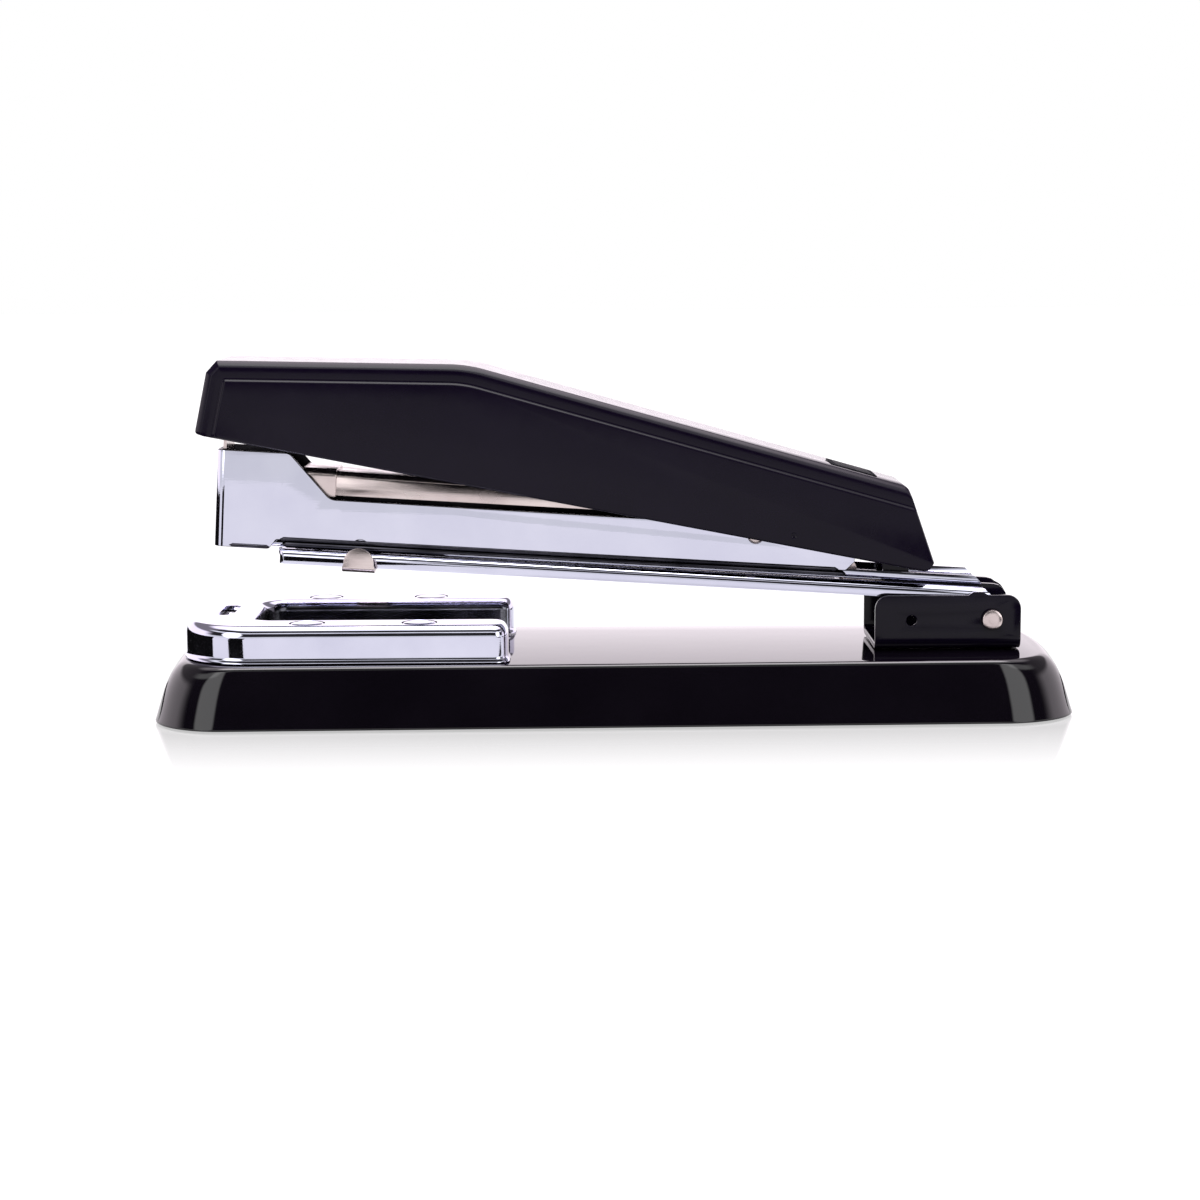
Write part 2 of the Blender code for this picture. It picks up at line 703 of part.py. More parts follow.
def make_pusher(parent):
    front = TRACK_FRONT + 0.3 + STRIP_LENGTH + GAP
    rear = front + 12.0
    floor = TRACK_FLOOR + TRACK_SHEET + GAP + 1.0
    side_view = rounded(
        [
            (front, floor, 0.4),
            (rear, floor, 0.8),
            (rear, 13.6, 1.5),
            (front + 3.5, 15.4, 1.5),
            (front, 15.4, 0.8),
        ],
        steps=3,
    )
    pusher = solid("pusher", prism("pusher", side_view, -6.0, 6.0), BLACK_SATIN, parent)
    drill(pusher, [((front + rear) / 2.0, 0.0, ROD_HEIGHT)], 1.2, 20.0, "X", "rod_hole")

    wire = 0.5
    radius = 1.75
    turns = 16
    points_per_turn = 10
    start = rear + GAP + wire
    end = REAR_STOP - GAP - wire
    count = turns * points_per_turn
    points = []
    for step in range(count + 1):
        angle = 2.0 * math.pi * step / points_per_turn
        x = start + (end - start) * step / count
        points.append((x, radius * math.cos(angle), ROD_HEIGHT + radius * math.sin(angle)))
    coil("pusher_spring", points, wire, SPRING, parent)


# ---------------------------------------------------------------- sheath, with the parts fixed to it

def make_sheath(parent):
    """Two sides joined by a closed nose, bent from one sheet and cut to the side view."""
    bend = 2.0
    half = SHEATH_OUTER - SHEATH_SHEET / 2.0
    front = NOSE_FRONT + SHEATH_SHEET / 2.0
    plan = [(SHEATH_REAR + 2.0, -half)]
    for step in range(5):
        angle = math.pi / 2.0 * step / 4.0
        plan.append((front + bend * (1.0 - math.sin(angle)), -half + bend * (1.0 - math.cos(angle))))
    plan += [(x, -y) for x, y in reversed(plan)]
    bm = bmesh.new()
    verts = [bm.verts.new((x, y, NOSE_BOTTOM - 2.0)) for x, y in plan]
    edges = [bm.edges.new(pair) for pair in zip(verts, verts[1:])]
    made = bmesh.ops.extrude_edge_only(bm, edges=edges)
    moved = [item for item in made["geom"] if isinstance(item, bmesh.types.BMVert)]
    bmesh.ops.translate(bm, vec=(0.0, 0.0, NOSE_TOP - NOSE_BOTTOM + 4.0), verts=moved)
    sheath = solid("sheath", bm, CHROME, parent)
    thicken(sheath, SHEATH_SHEET)
    side_view = rounded(
        [
            (NOSE_FRONT - 3.0, NOSE_BOTTOM, 0.0),
            (-157.5, NOSE_BOTTOM, 0.8),
            (-156.0, SHEATH_LIP, 0.8),
            (-34.0, SHEATH_LIP, 2.0),
            (SHEATH_REAR, 11.8, 1.0),
            (SHEATH_REAR, 17.1, 1.0),
            (-144.6, 17.7, 3.0),
            (-153.8, NOSE_TOP, 2.0),
            (NOSE_FRONT - 3.0, NOSE_TOP, 0.0),
        ]
    )
    boolean(sheath, "INTERSECT", prism("side", side_view, -12.0, 12.0), "side_view")
    cross = (-52.0, 0.0, 15.0)
    drill(sheath, [cross], 1.3, 30.0, "Y", "rivet_hole")

    inner = channel(
        "inner_channel", CHANNEL_FRONT, CHANNEL_REAR, CHANNEL_OUTER, CHANNEL_TOP, 18.6, 0.8, 1.2,
        NICKEL, parent,
    )
    hinge = channel(
        "sheath_hinge", -62.0, 6.0, HINGE_OUTER, CHANNEL_TOP - 0.8 - GAP, -6.0, PLATE, 1.0, NICKEL, parent
    )
    hinge_view = [
        (-42.0, 23.0, 0.0),
        (-60.0, 23.0, 0.0),
        (-60.0, 9.6, 1.0),
        (-32.4, 9.0, 1.0),
        (-31.4, 4.2, 1.0),
        (-24.0, 3.7, 2.0),
        (-15.0, -2.2, 2.0),
        (-8.0, -2.8, 0.0),
    ]
    hinge_view += eye_arc(4.0, 250, 400)
    hinge_view += [(-4.0, 6.4, 1.0), (-27.8, 6.6, 1.0), (-31.2, 12.0, 1.0)]
    boolean(hinge, "INTERSECT", prism("side", rounded(hinge_view), -9.0, 9.0), "side_view")
    drill(hinge, [(0.0, 0.0, 0.0)], PIN_RADIUS + GAP, 20.0, "Y", "pin_hole")
    drill(hinge, [cross], 1.3, 20.0, "Y", "rivet_hole")

    tip = SHEATH_OUTER + GAP
    half_rivet = [(0.0, tip + 0.6), (1.3, tip + 0.45), (1.8, tip), (1.0, tip)]
    profile = half_rivet + [(radius, -height) for radius, height in reversed(half_rivet)]
    turned("sheath_cross_rivet", profile, cross, "Y", NICKEL, parent, steps=16)

    spring_x = -56.0
    leaf_bottom = CHANNEL_TOP + GAP
    leaf = [(-50.5, leaf_bottom + 0.3), (-63.0, leaf_bottom + 0.3)]
    for step in range(1, 9):
        share = step / 8.0
        leaf.append((-63.0 - 30.0 * share, leaf_bottom + 0.3 + 16.6 * share ** 1.35))
    bm = sheet_surface(leaf, -4.0, 4.0, along="Y")
    spring = solid("main_spring", bm, SPRING, parent)
    thicken(spring, 0.6)
    for obj in (spring, inner, hinge):
        drill(obj, [(spring_x, 0.0, CHANNEL_TOP)], 1.2, 6.0, "Z", "rivet_hole")
    head_seat = leaf_bottom + 0.6 + GAP
    rivet("spring_rivet", 2.0, 0.8, 0.9, head_seat, CHANNEL_TOP - 2.8, spring_x, 0.0, STEEL, parent)


# ---------------------------------------------------------------- handle and driver

def handle_corners():
    """Side view of the handle cover, as (x, z, radius)."""
    return [
        (-174.0, 30.6, 0.8),
        (-172.0, 43.9, 0.0),
        (-169.8, 46.6, 0.0),
        (-116.3, 48.7, 30.0),
        (-20.0, 27.6, 2.0),
        (-13.4, 11.6, 0.0),
        (-14.5, 9.5, 2.0),
    ]


def make_handle(parent):
    chamfer = 1.3
    full = rounded(handle_corners())
    cut_back = rounded(inset_corners(handle_corners(), [chamfer] * 4 + [0.0] * 3))
    half = HANDLE_HALF_WIDTH
    rings = []
    for outline, y in ((cut_back, -half), (full, chamfer - half), (full, half - chamfer), (cut_back, half)):
        rings.append([(x, y, z) for x, z in outline])
    bm = loft(rings)
    cover = solid("handle_cover", bm, BLACK_SATIN, parent)
    wall = HANDLE_WALL
    cavity = [
        (-172.4, 20.0),
        (-172.4, 30.0),
        (-170.4, 43.2),
        (-168.9, 45.0),
        (-116.2, 47.1),
        (-21.2, 26.3),
        (-15.3, 11.5),
        (-12.0, 11.5),
        (-12.0, 0.0),
        (-60.0, 0.0),
    ]
    inner = HANDLE_HALF_WIDTH - wall
    boolean(cover, "DIFFERENCE", prism("cavity", cavity, -inner, inner), "cavity")

    plates = prism("frame", frame_outline(), -FRAME_OUTER, FRAME_OUTER)
    frame = solid("handle_frame", plates, BLACK_STEEL, parent)
    inside = FRAME_OUTER - PLATE
    boolean(frame, "DIFFERENCE", prism("hollow", frame_hollow(), -inside, inside), "hollow")
    drill(frame, [(0.0, 0.0, 0.0)], PIN_RADIUS + GAP, 20.0, "Y", "pin_hole")

    for number, x in enumerate((-88.0, -36.0), 1):
        web = roof_height(x) - wall - GAP - PLATE
        drill(frame, [(x, 0.0, web)], 1.4, 6.0, "Z", f"rivet_hole_{number}")
        post = [(1.0, 1.1), (1.0, -0.9), (2.2, -0.9), (1.6, -1.8), (0.0, -1.9)]
        turned(f"frame_rivet_{number}", [(0.0, 1.1)] + post, (x, 0.0, web), "Z", STEEL, parent, steps=16)

    holder = rounded(
        [
            (-166.4, 34.4, 0.3),
            (-159.0, 34.4, 0.3),
            (-159.0, 32.8, 0.3),
            (-163.5, 32.8, 0.3),
            (-163.5, 31.6, 0.3),
            (-157.4, 31.6, 0.6),
            (-157.4, 44.6, 0.3),
            (-161.0, 44.6, 0.3),
            (-161.0, 36.0, 0.6),
            (-166.4, 35.8, 0.3),
        ],
        steps=2,
    )
    solid("driver_retainer", prism("holder", holder, -5.0, 5.0), BLACK_SATIN, parent)

    place = -31.5
    pitch = math.atan(ROOF_SLOPE)
    lift = roof_height(place) + GAP * 0.5
    label = block((-5.2, -7.0, 0.1), (5.2, 7.0, 0.4), 0.1, 1)
    plate = solid("blank_plate", label, LABEL, parent)
    plate.location = (place * MM, 0.0, lift * MM)
    plate.rotation_euler = (0.0, -pitch, 0.0)


ROOF_FRONT = (-116.3, 48.7)
ROOF_REAR = (-20.0, 27.6)
ROOF_SLOPE = (ROOF_REAR[1] - ROOF_FRONT[1]) / (ROOF_REAR[0] - ROOF_FRONT[0])


def roof_height(x):
    """Outer height of the handle's sloping rear roof."""
    return ROOF_FRONT[1] + (x - ROOF_FRONT[0]) * ROOF_SLOPE


def frame_outline():
    """Side view of the handle's inner frame: a roof channel that narrows into the two pin eyes."""
    under_roof = HANDLE_WALL + GAP
    front = -100.0
    corners = [
        (front, roof_height(front) - under_roof, 0.0),
        (front, 31.5, 0.0),
        (-45.2, 26.2, 1.0),
        (-45.2, 15.4, 1.0),
        (-24.4, 12.6, 1.0),
        (-22.6, 3.6, 1.0),
        (-15.0, -2.2, 2.0),
        (-8.0, -2.8, 0.0),
    ]
    corners += eye_arc(4.0, 250, 370)
    corners += [(3.7, 7.0, 3.0), (-17.4, 7.0, 1.0), (-23.6, roof_height(-23.6) - under_roof, 0.0)]
    return rounded(corners)


def frame_hollow():
    """What is cut from the frame's inside, which leaves its web under the roof and its two sides."""
    below = HANDLE_WALL + GAP + PLATE
    return [
        (-110.0, -10.0),
        (20.0, -10.0),
        (20.0, 12.0),
        (-20.0, roof_height(-20.0) - below),
        (-110.0, roof_height(-110.0) - below),
    ]


def make_driver(parent):
    blade = 0.7
    line = NOSE_FRONT + SHEATH_SHEET + GAP + blade / 2.0
    profile = [(line, 14.8), (line, 33.3), (line + 0.1, 33.55), (line + 0.35, 33.65), (line + 5.2, 33.65)]
    driver = solid("driver_blade", sheet_surface(profile, -6.2, 6.2, along="Y"), NICKEL, parent)
    thicken(driver, blade)


# ---------------------------------------------------------------- the whole object

make_base()
make_anvil()
make_bracket()
make_pin()
make_return_spring()

arm_axis = axis_empty("arm_axis", location=(PIN_X, 0.0, PIN_Z), tilt=HEAD_TILT)
pusher_axis = axis_empty("pusher_axis", arm_axis)
sheath_axis = axis_empty("sheath_axis", arm_axis)
handle_axis = axis_empty("handle_axis", sheath_axis)
driver_axis = axis_empty("driver_axis", sheath_axis)

make_arm(arm_axis)
make_track(arm_axis)
make_pusher(pusher_axis)
make_sheath(sheath_axis)
make_handle(handle_axis)
make_driver(driver_axis)
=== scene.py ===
"""Looks for the desk stapler: finer sheet-metal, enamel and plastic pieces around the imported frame.

Shapes are written in millimetres. The head's pieces (arm, sheath, handle and what they carry) use the
head's own frame, whose origin is the main pin and whose X runs along the staple track.
"""

import json
import math

import bmesh
import bpy
from mathutils import Matrix, Vector


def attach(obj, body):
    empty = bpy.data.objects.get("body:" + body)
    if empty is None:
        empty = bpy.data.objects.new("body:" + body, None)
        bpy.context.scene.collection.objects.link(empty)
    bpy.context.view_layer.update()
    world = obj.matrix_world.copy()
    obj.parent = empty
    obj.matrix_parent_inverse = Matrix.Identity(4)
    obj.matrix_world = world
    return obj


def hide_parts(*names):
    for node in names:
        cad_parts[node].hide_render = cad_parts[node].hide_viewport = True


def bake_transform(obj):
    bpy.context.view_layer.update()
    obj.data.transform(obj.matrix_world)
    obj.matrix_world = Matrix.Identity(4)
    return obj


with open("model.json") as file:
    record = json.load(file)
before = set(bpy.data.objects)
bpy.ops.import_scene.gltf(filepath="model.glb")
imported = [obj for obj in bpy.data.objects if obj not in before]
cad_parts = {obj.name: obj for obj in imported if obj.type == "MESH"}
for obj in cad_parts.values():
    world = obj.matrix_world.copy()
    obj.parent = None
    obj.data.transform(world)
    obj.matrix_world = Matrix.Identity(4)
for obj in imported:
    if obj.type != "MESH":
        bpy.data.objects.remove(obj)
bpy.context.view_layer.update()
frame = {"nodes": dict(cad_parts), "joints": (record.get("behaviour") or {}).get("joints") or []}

JOINTS = {joint["name"]: joint for joint in frame["joints"]}
PIN = Vector(JOINTS["head_tilt"]["pos_m"])
SLIDE = JOINTS["driver_slide"]["axis"]
TILT = math.atan2(SLIDE[0], SLIDE[2])
MM = Matrix.Scale(0.001, 4)
HEAD = Matrix.Translation(PIN) @ Matrix.Rotation(TILT, 4, "Y") @ MM
PIN_X = PIN.x * 1000.0
PIN_Z = PIN.z * 1000.0
PIN_RADIUS = 1.5
GAP = 0.3
BASE_TOP = 13.7
ANVIL_TOP = 21.6
ANVIL_STUDS = [(x, y, ANVIL_TOP) for x in (-65.6, -41.6) for y in (-20.0, 20.0)]
TRACK_RIVETS = (-148.0, -70.0)
BRACKET_RIVETS = (60.5, 70.5)
CLIP_X = -137.65
SHEATH_HALF = 8.5
SHEATH_WALL = 0.8
NOSE_FOOT = 6.3
SKIRT_FOOT = 8.45
SHEATH_RIVET = (-52.0, 0.0, 15.0)
LEAF_RIVET = (-56.0, 0.0, 22.3)


# ---------------------------------------------------------------- materials

def new_material(name):
    mat = bpy.data.materials.new(name)
    mat.use_nodes = True
    tree = mat.node_tree
    return mat, tree, tree.nodes["Principled BSDF"]


def noise_value(tree, scale, detail, stretch=(1.0, 1.0, 1.0)):
    """Noise over the piece's own place, in metres, drawn out along an axis where stretch is below 1."""
    where = tree.nodes.new("ShaderNodeTexCoord")
    mapping = tree.nodes.new("ShaderNodeMapping")
    mapping.inputs["Scale"].default_value = stretch
    noise = tree.nodes.new("ShaderNodeTexNoise")
    noise.inputs["Scale"].default_value = scale
    noise.inputs["Detail"].default_value = detail
    tree.links.new(where.outputs["Object"], mapping.inputs["Vector"])
    tree.links.new(mapping.outputs["Vector"], noise.inputs["Vector"])
    return noise.outputs["Fac"]


def vary(tree, value, low, high):
    """Spreads the middle of a noise over low to high."""
    step = tree.nodes.new("ShaderNodeMapRange")
    step.inputs["From Min"].default_value = 0.3
    step.inputs["From Max"].default_value = 0.7
    step.inputs["To Min"].default_value = low
    step.inputs["To Max"].default_value = high
    tree.links.new(value, step.inputs["Value"])
    return step.outputs["Result"]


def tint(tree, value, dark, light):
    mix = tree.nodes.new("ShaderNodeMix")
    mix.data_type = "RGBA"
    mix.inputs["A"].default_value = (*dark, 1.0)
    mix.inputs["B"].default_value = (*light, 1.0)
    tree.links.new(value, mix.inputs["Factor"])
    return mix.outputs["Result"]


def bumps(tree, shader, layers):
    """Stacks bump layers of (value, strength, height in metres)."""
    normal = None
    for value, strength, height in layers:
        bump = tree.nodes.new("ShaderNodeBump")
        bump.inputs["Strength"].default_value = strength
        bump.inputs["Distance"].default_value = height
        tree.links.new(value, bump.inputs["Height"])
        if normal is not None:
            tree.links.new(normal, bump.inputs["Normal"])
        normal = bump.outputs["Normal"]
    tree.links.new(normal, shader.inputs["Normal"])


def make_metal(name, dark, light, rough, brush, wave=0.0):
    """Plated or bare sheet: cloudy tint, rubbed patches, fine brush lines and a slight waviness."""
    mat, tree, shader = new_material(name)
    shader.inputs["Metallic"].default_value = 1.0
    cloud = noise_value(tree, 90.0, 3.0)
    tree.links.new(tint(tree, vary(tree, cloud, 0.0, 1.0), dark, light), shader.inputs["Base Color"])
    rubbed = noise_value(tree, 260.0, 4.0, (0.5, 1.0, 1.0))
    tree.links.new(vary(tree, rubbed, rough * 0.7, rough * 1.5), shader.inputs["Roughness"])
    layers = []
    if wave:
        layers.append((noise_value(tree, 150.0, 1.0), wave, 0.0004))
    layers.append((noise_value(tree, 2600.0, 2.0, (0.04, 1.0, 1.0)), brush, 0.00004))
    bumps(tree, shader, layers)
    return mat


def make_gloss(name, dark, light, rough, peel, grain, ior=1.5, specular=0.5):
    """Enamel or moulded plastic: deep colour, fine roughness changes, and layers of (scale, strength)."""
    mat, tree, shader = new_material(name)
    shader.inputs["IOR"].default_value = ior
    shader.inputs["Specular IOR Level"].default_value = specular
    cloud = noise_value(tree, 60.0, 3.0)
    tree.links.new(tint(tree, vary(tree, cloud, 0.0, 1.0), dark, light), shader.inputs["Base Color"])
    worn = noise_value(tree, 420.0, 5.0)
    tree.links.new(vary(tree, worn, rough * 0.8, rough * 1.35), shader.inputs["Roughness"])
    peel_scale, peel_strength = peel
    grain_scale, grain_strength = grain
    bumps(
        tree, shader,
        [
            (noise_value(tree, peel_scale, 1.0), peel_strength, 0.0004),
            (noise_value(tree, grain_scale, 2.0), grain_strength, 0.00003),
        ],
    )
    return mat


ENAMEL = make_gloss(
    "enamel", (0.0016, 0.0010, 0.0024), (0.0026, 0.0018, 0.0036),
    rough=0.045, peel=(110.0, 0.05), grain=(3000.0, 0.02),
)
HANDLE = make_gloss(
    "handle_paint", (0.0026, 0.0011, 0.0062), (0.0038, 0.0019, 0.0082),
    rough=0.13, peel=(150.0, 0.03), grain=(4200.0, 0.10), ior=1.235,
)
BLACK_STEEL = make_gloss(
    "black_steel_paint", (0.0026, 0.0014, 0.0060), (0.0038, 0.0024, 0.0080),
    rough=0.12, peel=(140.0, 0.04), grain=(3600.0, 0.10), ior=1.25,
)
PLASTIC = make_gloss(
    "moulded_plastic", (0.010, 0.010, 0.011), (0.016, 0.016, 0.017),
    rough=0.45, peel=(200.0, 0.03), grain=(2600.0, 0.30),
)
RUBBER = make_gloss(
    "rubber", (0.010, 0.010, 0.010), (0.022, 0.022, 0.022),
    rough=0.80, peel=(300.0, 0.10), grain=(1800.0, 0.60),
)
INK = make_gloss(
    "ink", (0.006, 0.006, 0.008), (0.010, 0.010, 0.013),
    rough=0.85, peel=(200.0, 0.02), grain=(2400.0, 0.20), specular=0.05,
)
LABEL = make_gloss(
    "label_plate", (0.012, 0.012, 0.014), (0.020, 0.020, 0.023),
    rough=0.70, peel=(200.0, 0.02), grain=(2400.0, 0.12), specular=0.15,
)
CHROME = make_metal(
    "chrome", (0.53, 0.53, 0.65), (0.59, 0.59, 0.71), rough=0.045, brush=0.05, wave=0.03
)
SHEATH_CHROME = make_metal(
    "drawn_chrome", (0.523, 0.523, 0.637), (0.569, 0.569, 0.678), rough=0.055, brush=0.10, wave=0.012
)
# Dark chrome that paints the shade on the anvil's inner walls between its legs.
PAINTED_SHADE_CHROME = make_metal(
    "painted_shade_chrome", (0.022, 0.022, 0.028), (0.26, 0.26, 0.30), rough=0.16, brush=0.25, wave=0.10
)
# Dark chrome that paints shade along the sheath's lower edges and along the track's sides.
SHADED_CHROME = make_metal(
    "shaded_chrome", (0.010, 0.010, 0.014), (0.060, 0.058, 0.072), rough=0.12, brush=0.10, wave=0.05
)
# Near-black finish that paints shade and dark reflections on the faces a mask picks.
PAINTED_SHADE_EDGE = make_metal("painted_shade_edge", (0.012, 0.011, 0.014), (0.045, 0.042, 0.050), rough=0.24, brush=0.30)
NICKEL = make_metal("nickel", (0.50, 0.42, 0.42), (0.64, 0.56, 0.55), rough=0.20, brush=0.35, wave=0.04)
STEEL = make_metal("steel", (0.42, 0.42, 0.45), (0.52, 0.52, 0.55), rough=0.28, brush=0.40)
SPRING_STEEL = make_metal("spring_wire", (0.22, 0.22, 0.25), (0.34, 0.34, 0.37), rough=0.26, brush=0.30)
STAPLE_WIRE = make_metal("staple_metal", (0.58, 0.58, 0.62), (0.68, 0.68, 0.72), rough=0.18, brush=0.20)

SLOT_MATERIALS = {
    "black_enamel": ENAMEL,
    "handle_black": HANDLE,
    "black_steel": BLACK_STEEL,
    "bright_chrome": CHROME,
    "warm_nickel": NICKEL,
    "plain_steel": STEEL,
    "spring_steel": SPRING_STEEL,
    "staple_wire": STAPLE_WIRE,
    "moulded_black": PLASTIC,
    "sole_rubber": RUBBER,
    "blank_label": LABEL,
}


# ---------------------------------------------------------------- shape helpers

def rounded(corners, steps=6):
    """A closed outline from (x, y, radius) corners, each turned into an arc."""
    outline = []
    count = len(corners)
    for index, (x, y, radius) in enumerate(corners):
        if radius == 0.0:
            outline.append((x, y))
            continue
        before = Vector(corners[index - 1][:2]) - Vector((x, y))
        after = Vector(corners[(index + 1) % count][:2]) - Vector((x, y))
        before.normalize()
        after.normalize()
        turn = math.acos(max(-1.0, min(1.0, before.dot(after))))
        reach = radius / math.tan(turn / 2.0)
        centre = Vector((x, y)) + (before + after).normalized() * (radius / math.sin(turn / 2.0))
        first = Vector((x, y)) + before * reach - centre
        last = Vector((x, y)) + after * reach - centre
        start = math.atan2(first.y, first.x)
        sweep = (math.atan2(last.y, last.x) - start + math.pi) % (2.0 * math.pi) - math.pi
        for step in range(steps + 1):
            angle = start + sweep * step / steps
            outline.append((centre.x + radius * math.cos(angle), centre.y + radius * math.sin(angle)))
    return outline


def inset_corners(corners, insets):
    """Corners after each edge, from its corner to the next, moves inwards by its own inset."""
    lines = []
    for index, inset in enumerate(insets):
        x, y = corners[index][:2]
        next_x, next_y = corners[(index + 1) % len(corners)][:2]
        length = math.hypot(next_x - x, next_y - y)
        along = ((next_x - x) / length, (next_y - y) / length)
        lines.append((x + along[1] * inset, y - along[0] * inset, along))
    moved = []
    for index in range(len(corners)):
        ax, ay, (adx, ady) = lines[index - 1]
        bx, by, (bdx, bdy) = lines[index]
        travel = ((bx - ax) * bdy - (by - ay) * bdx) / (adx * bdy - ady * bdx)
        moved.append((ax + adx * travel, ay + ady * travel))
    return moved


def fan(radius, start, end, steps, centre=(0.0, 0.0)):
    """Points of an arc, from its start to its end in degrees."""
    angles = [math.radians(start + (end - start) * step / steps) for step in range(steps + 1)]
    return [(centre[0] + radius * math.cos(a), centre[1] + radius * math.sin(a)) for a in angles]


def loft(rings, into=None):
    """A closed body through rings of points, all with the same number of points."""
    bm = into or bmesh.new()
    layers = [[bm.verts.new(point) for point in ring] for ring in rings]
    bm.faces.new(layers[0])
    bm.faces.new(layers[-1])
    for upper, lower in zip(layers, layers[1:]):
        for index in range(len(upper)):
            after = (index + 1) % len(upper)
            bm.faces.new((upper[index], upper[after], lower[after], lower[index]))
    return bm


def prism(outline, low, high, along="Y"):
    if along == "Y":
        return loft([[(x, y, z) for x, z in outline] for y in (low, high)])
    if along == "X":
        return loft([[(x, y, z) for y, z in outline] for x in (low, high)])
    return loft([[(x, y, z) for x, y in outline] for z in (low, high)])


def block(low, high, bevel=0.0):
    bm = bmesh.new()
    bmesh.ops.create_cube(bm, size=1.0)
    bmesh.ops.scale(bm, vec=[b - a for a, b in zip(low, high)], verts=bm.verts)
    bmesh.ops.translate(bm, vec=[(a + b) / 2.0 for a, b in zip(low, high)], verts=bm.verts)
    if bevel:
        bmesh.ops.bevel(bm, geom=bm.edges[:], offset=bevel, segments=3, profile=0.5, affect="EDGES")
    return bm


def lathe(profile, centre, along, steps, into=None):
    """A turned body from (radius, height) points, laid along X, Y or Z at the centre."""
    bm = into or bmesh.new()
    lay = {
        "X": lambda x, y, z: (z, x, y),
        "Y": lambda x, y, z: (y, z, x),
        "Z": lambda x, y, z: (x, y, z),
    }[along]
    rings = []
    for radius, height in profile:
        count = steps if radius > 0.0 else 1
        ring = []
        for step in range(count):
            angle = 2.0 * math.pi * step / steps
            place = Vector(lay(radius * math.cos(angle), radius * math.sin(angle), height)) + Vector(centre)
            ring.append(bm.verts.new(place))
        rings.append(ring)
    for upper, lower in zip(rings, rings[1:]):
        for step in range(steps):
            after = (step + 1) % steps
            if len(upper) == 1:
                bm.faces.new((upper[0], lower[step], lower[after]))
            elif len(lower) == 1:
                bm.faces.new((upper[step], upper[after], lower[0]))
            else:
                bm.faces.new((upper[step], upper[after], lower[after], lower[step]))
    return bm


def rod_into(bm, centre, radius, length, along, steps=40):
    half = length / 2.0
    lathe([(0.0, half), (radius, half), (radius, -half), (0.0, -half)], centre, along, steps, bm)
    return bm


def tube(points, radius, sides):
    """A closed round wire through the points."""
    bm = bmesh.new()
    path = [Vector(point) for point in points]
    rings = []
    side = None
    for index, point in enumerate(path):
        ahead = path[min(index + 1, len(path) - 1)]
        behind = path[max(index - 1, 0)]
        tangent = (ahead - behind).normalized()
        if side is None:
            side = tangent.orthogonal().normalized()
        side = (side - tangent * side.dot(tangent)).normalized()
        other = tangent.cross(side)
        ring = []
        for step in range(sides):
            angle = 2.0 * math.pi * step / sides
            out = side * (radius * math.cos(angle)) + other * (radius * math.sin(angle))
            ring.append(bm.verts.new(point + out))
        rings.append(ring)
    bm.faces.new(rings[0])
    bm.faces.new(rings[-1])
    for upper, lower in zip(rings, rings[1:]):
        for step in range(sides):
            after = (step + 1) % sides
            bm.faces.new((upper[step], upper[after], lower[after], lower[step]))
    return bm


def sheet(profile, start, end, along="X"):
    """An open surface: a profile of (y, z) points drawn along X, (x, z) along Y, or (x, y) along Z."""
    lay = {
        "X": lambda t, a, b: (t, a, b),
        "Y": lambda t, a, b: (a, t, b),
        "Z": lambda t, a, b: (a, b, t),
    }[along]
    bm = bmesh.new()
    first = [bm.verts.new(lay(start, a, b)) for a, b in profile]
    second = [bm.verts.new(lay(end, a, b)) for a, b in profile]
    for index in range(len(profile) - 1):
        bm.faces.new((first[index], first[index + 1], second[index + 1], second[index]))
    return bm


def channel_profile(half_width, web, lip, bend, steps=8):
    """Mid-line (y, z) of a channel: a web with a flange at each side, joined by round bends."""
    side = 1.0 if lip > web else -1.0
    points = [(-half_width, lip)]
    for step in range(steps + 1):
        angle = math.pi / 2.0 * step / steps
        y = -half_width + bend * (1.0 - math.cos(angle))
        points.append((y, web + side * bend * (1.0 - math.sin(angle))))
    return points + [(-y, z) for y, z in reversed(points)]


def temporary(bm):
    bmesh.ops.recalc_face_normals(bm, faces=bm.faces)
    if all(edge.is_manifold for edge in bm.edges) and bm.calc_volume(signed=True) < 0.0:
        bmesh.ops.reverse_faces(bm, faces=bm.faces)
    mesh = bpy.data.meshes.new("temporary")
    bm.to_mesh(mesh)
    bm.free()
    obj = bpy.data.objects.new("temporary", mesh)
    bpy.context.scene.collection.objects.link(obj)
    return obj


def shaped(bm, thickness=0.0, cuts=(), bevel=0.0, bevel_steps=2):
    """The final mesh, in millimetres, of a body or sheet after its cuts and edge rounding."""
    obj = temporary(bm)
    if thickness:
        solid = obj.modifiers.new("thickness", "SOLIDIFY")
        solid.thickness = thickness
        solid.offset = 0.0
        solid.use_even_offset = True
    tools = []
    for operation, cutter in cuts:
        tool = temporary(cutter)
        tools.append(tool)
        step = obj.modifiers.new(operation, "BOOLEAN")
        step.operation = operation
        step.object = tool
        step.solver = "EXACT"
    if bevel:
        edge = obj.modifiers.new("edges", "BEVEL")
        edge.width = bevel
        edge.segments = bevel_steps
        edge.limit_method = "ANGLE"
        edge.angle_limit = math.radians(50.0)
        edge.use_clamp_overlap = True
        edge.harden_normals = False
    bpy.context.view_layer.update()
    graph = bpy.context.evaluated_depsgraph_get()
    mesh = bpy.data.meshes.new_from_object(obj.evaluated_get(graph))
    for item in [obj, *tools]:
        bpy.data.objects.remove(item, do_unlink=True)
    return mesh


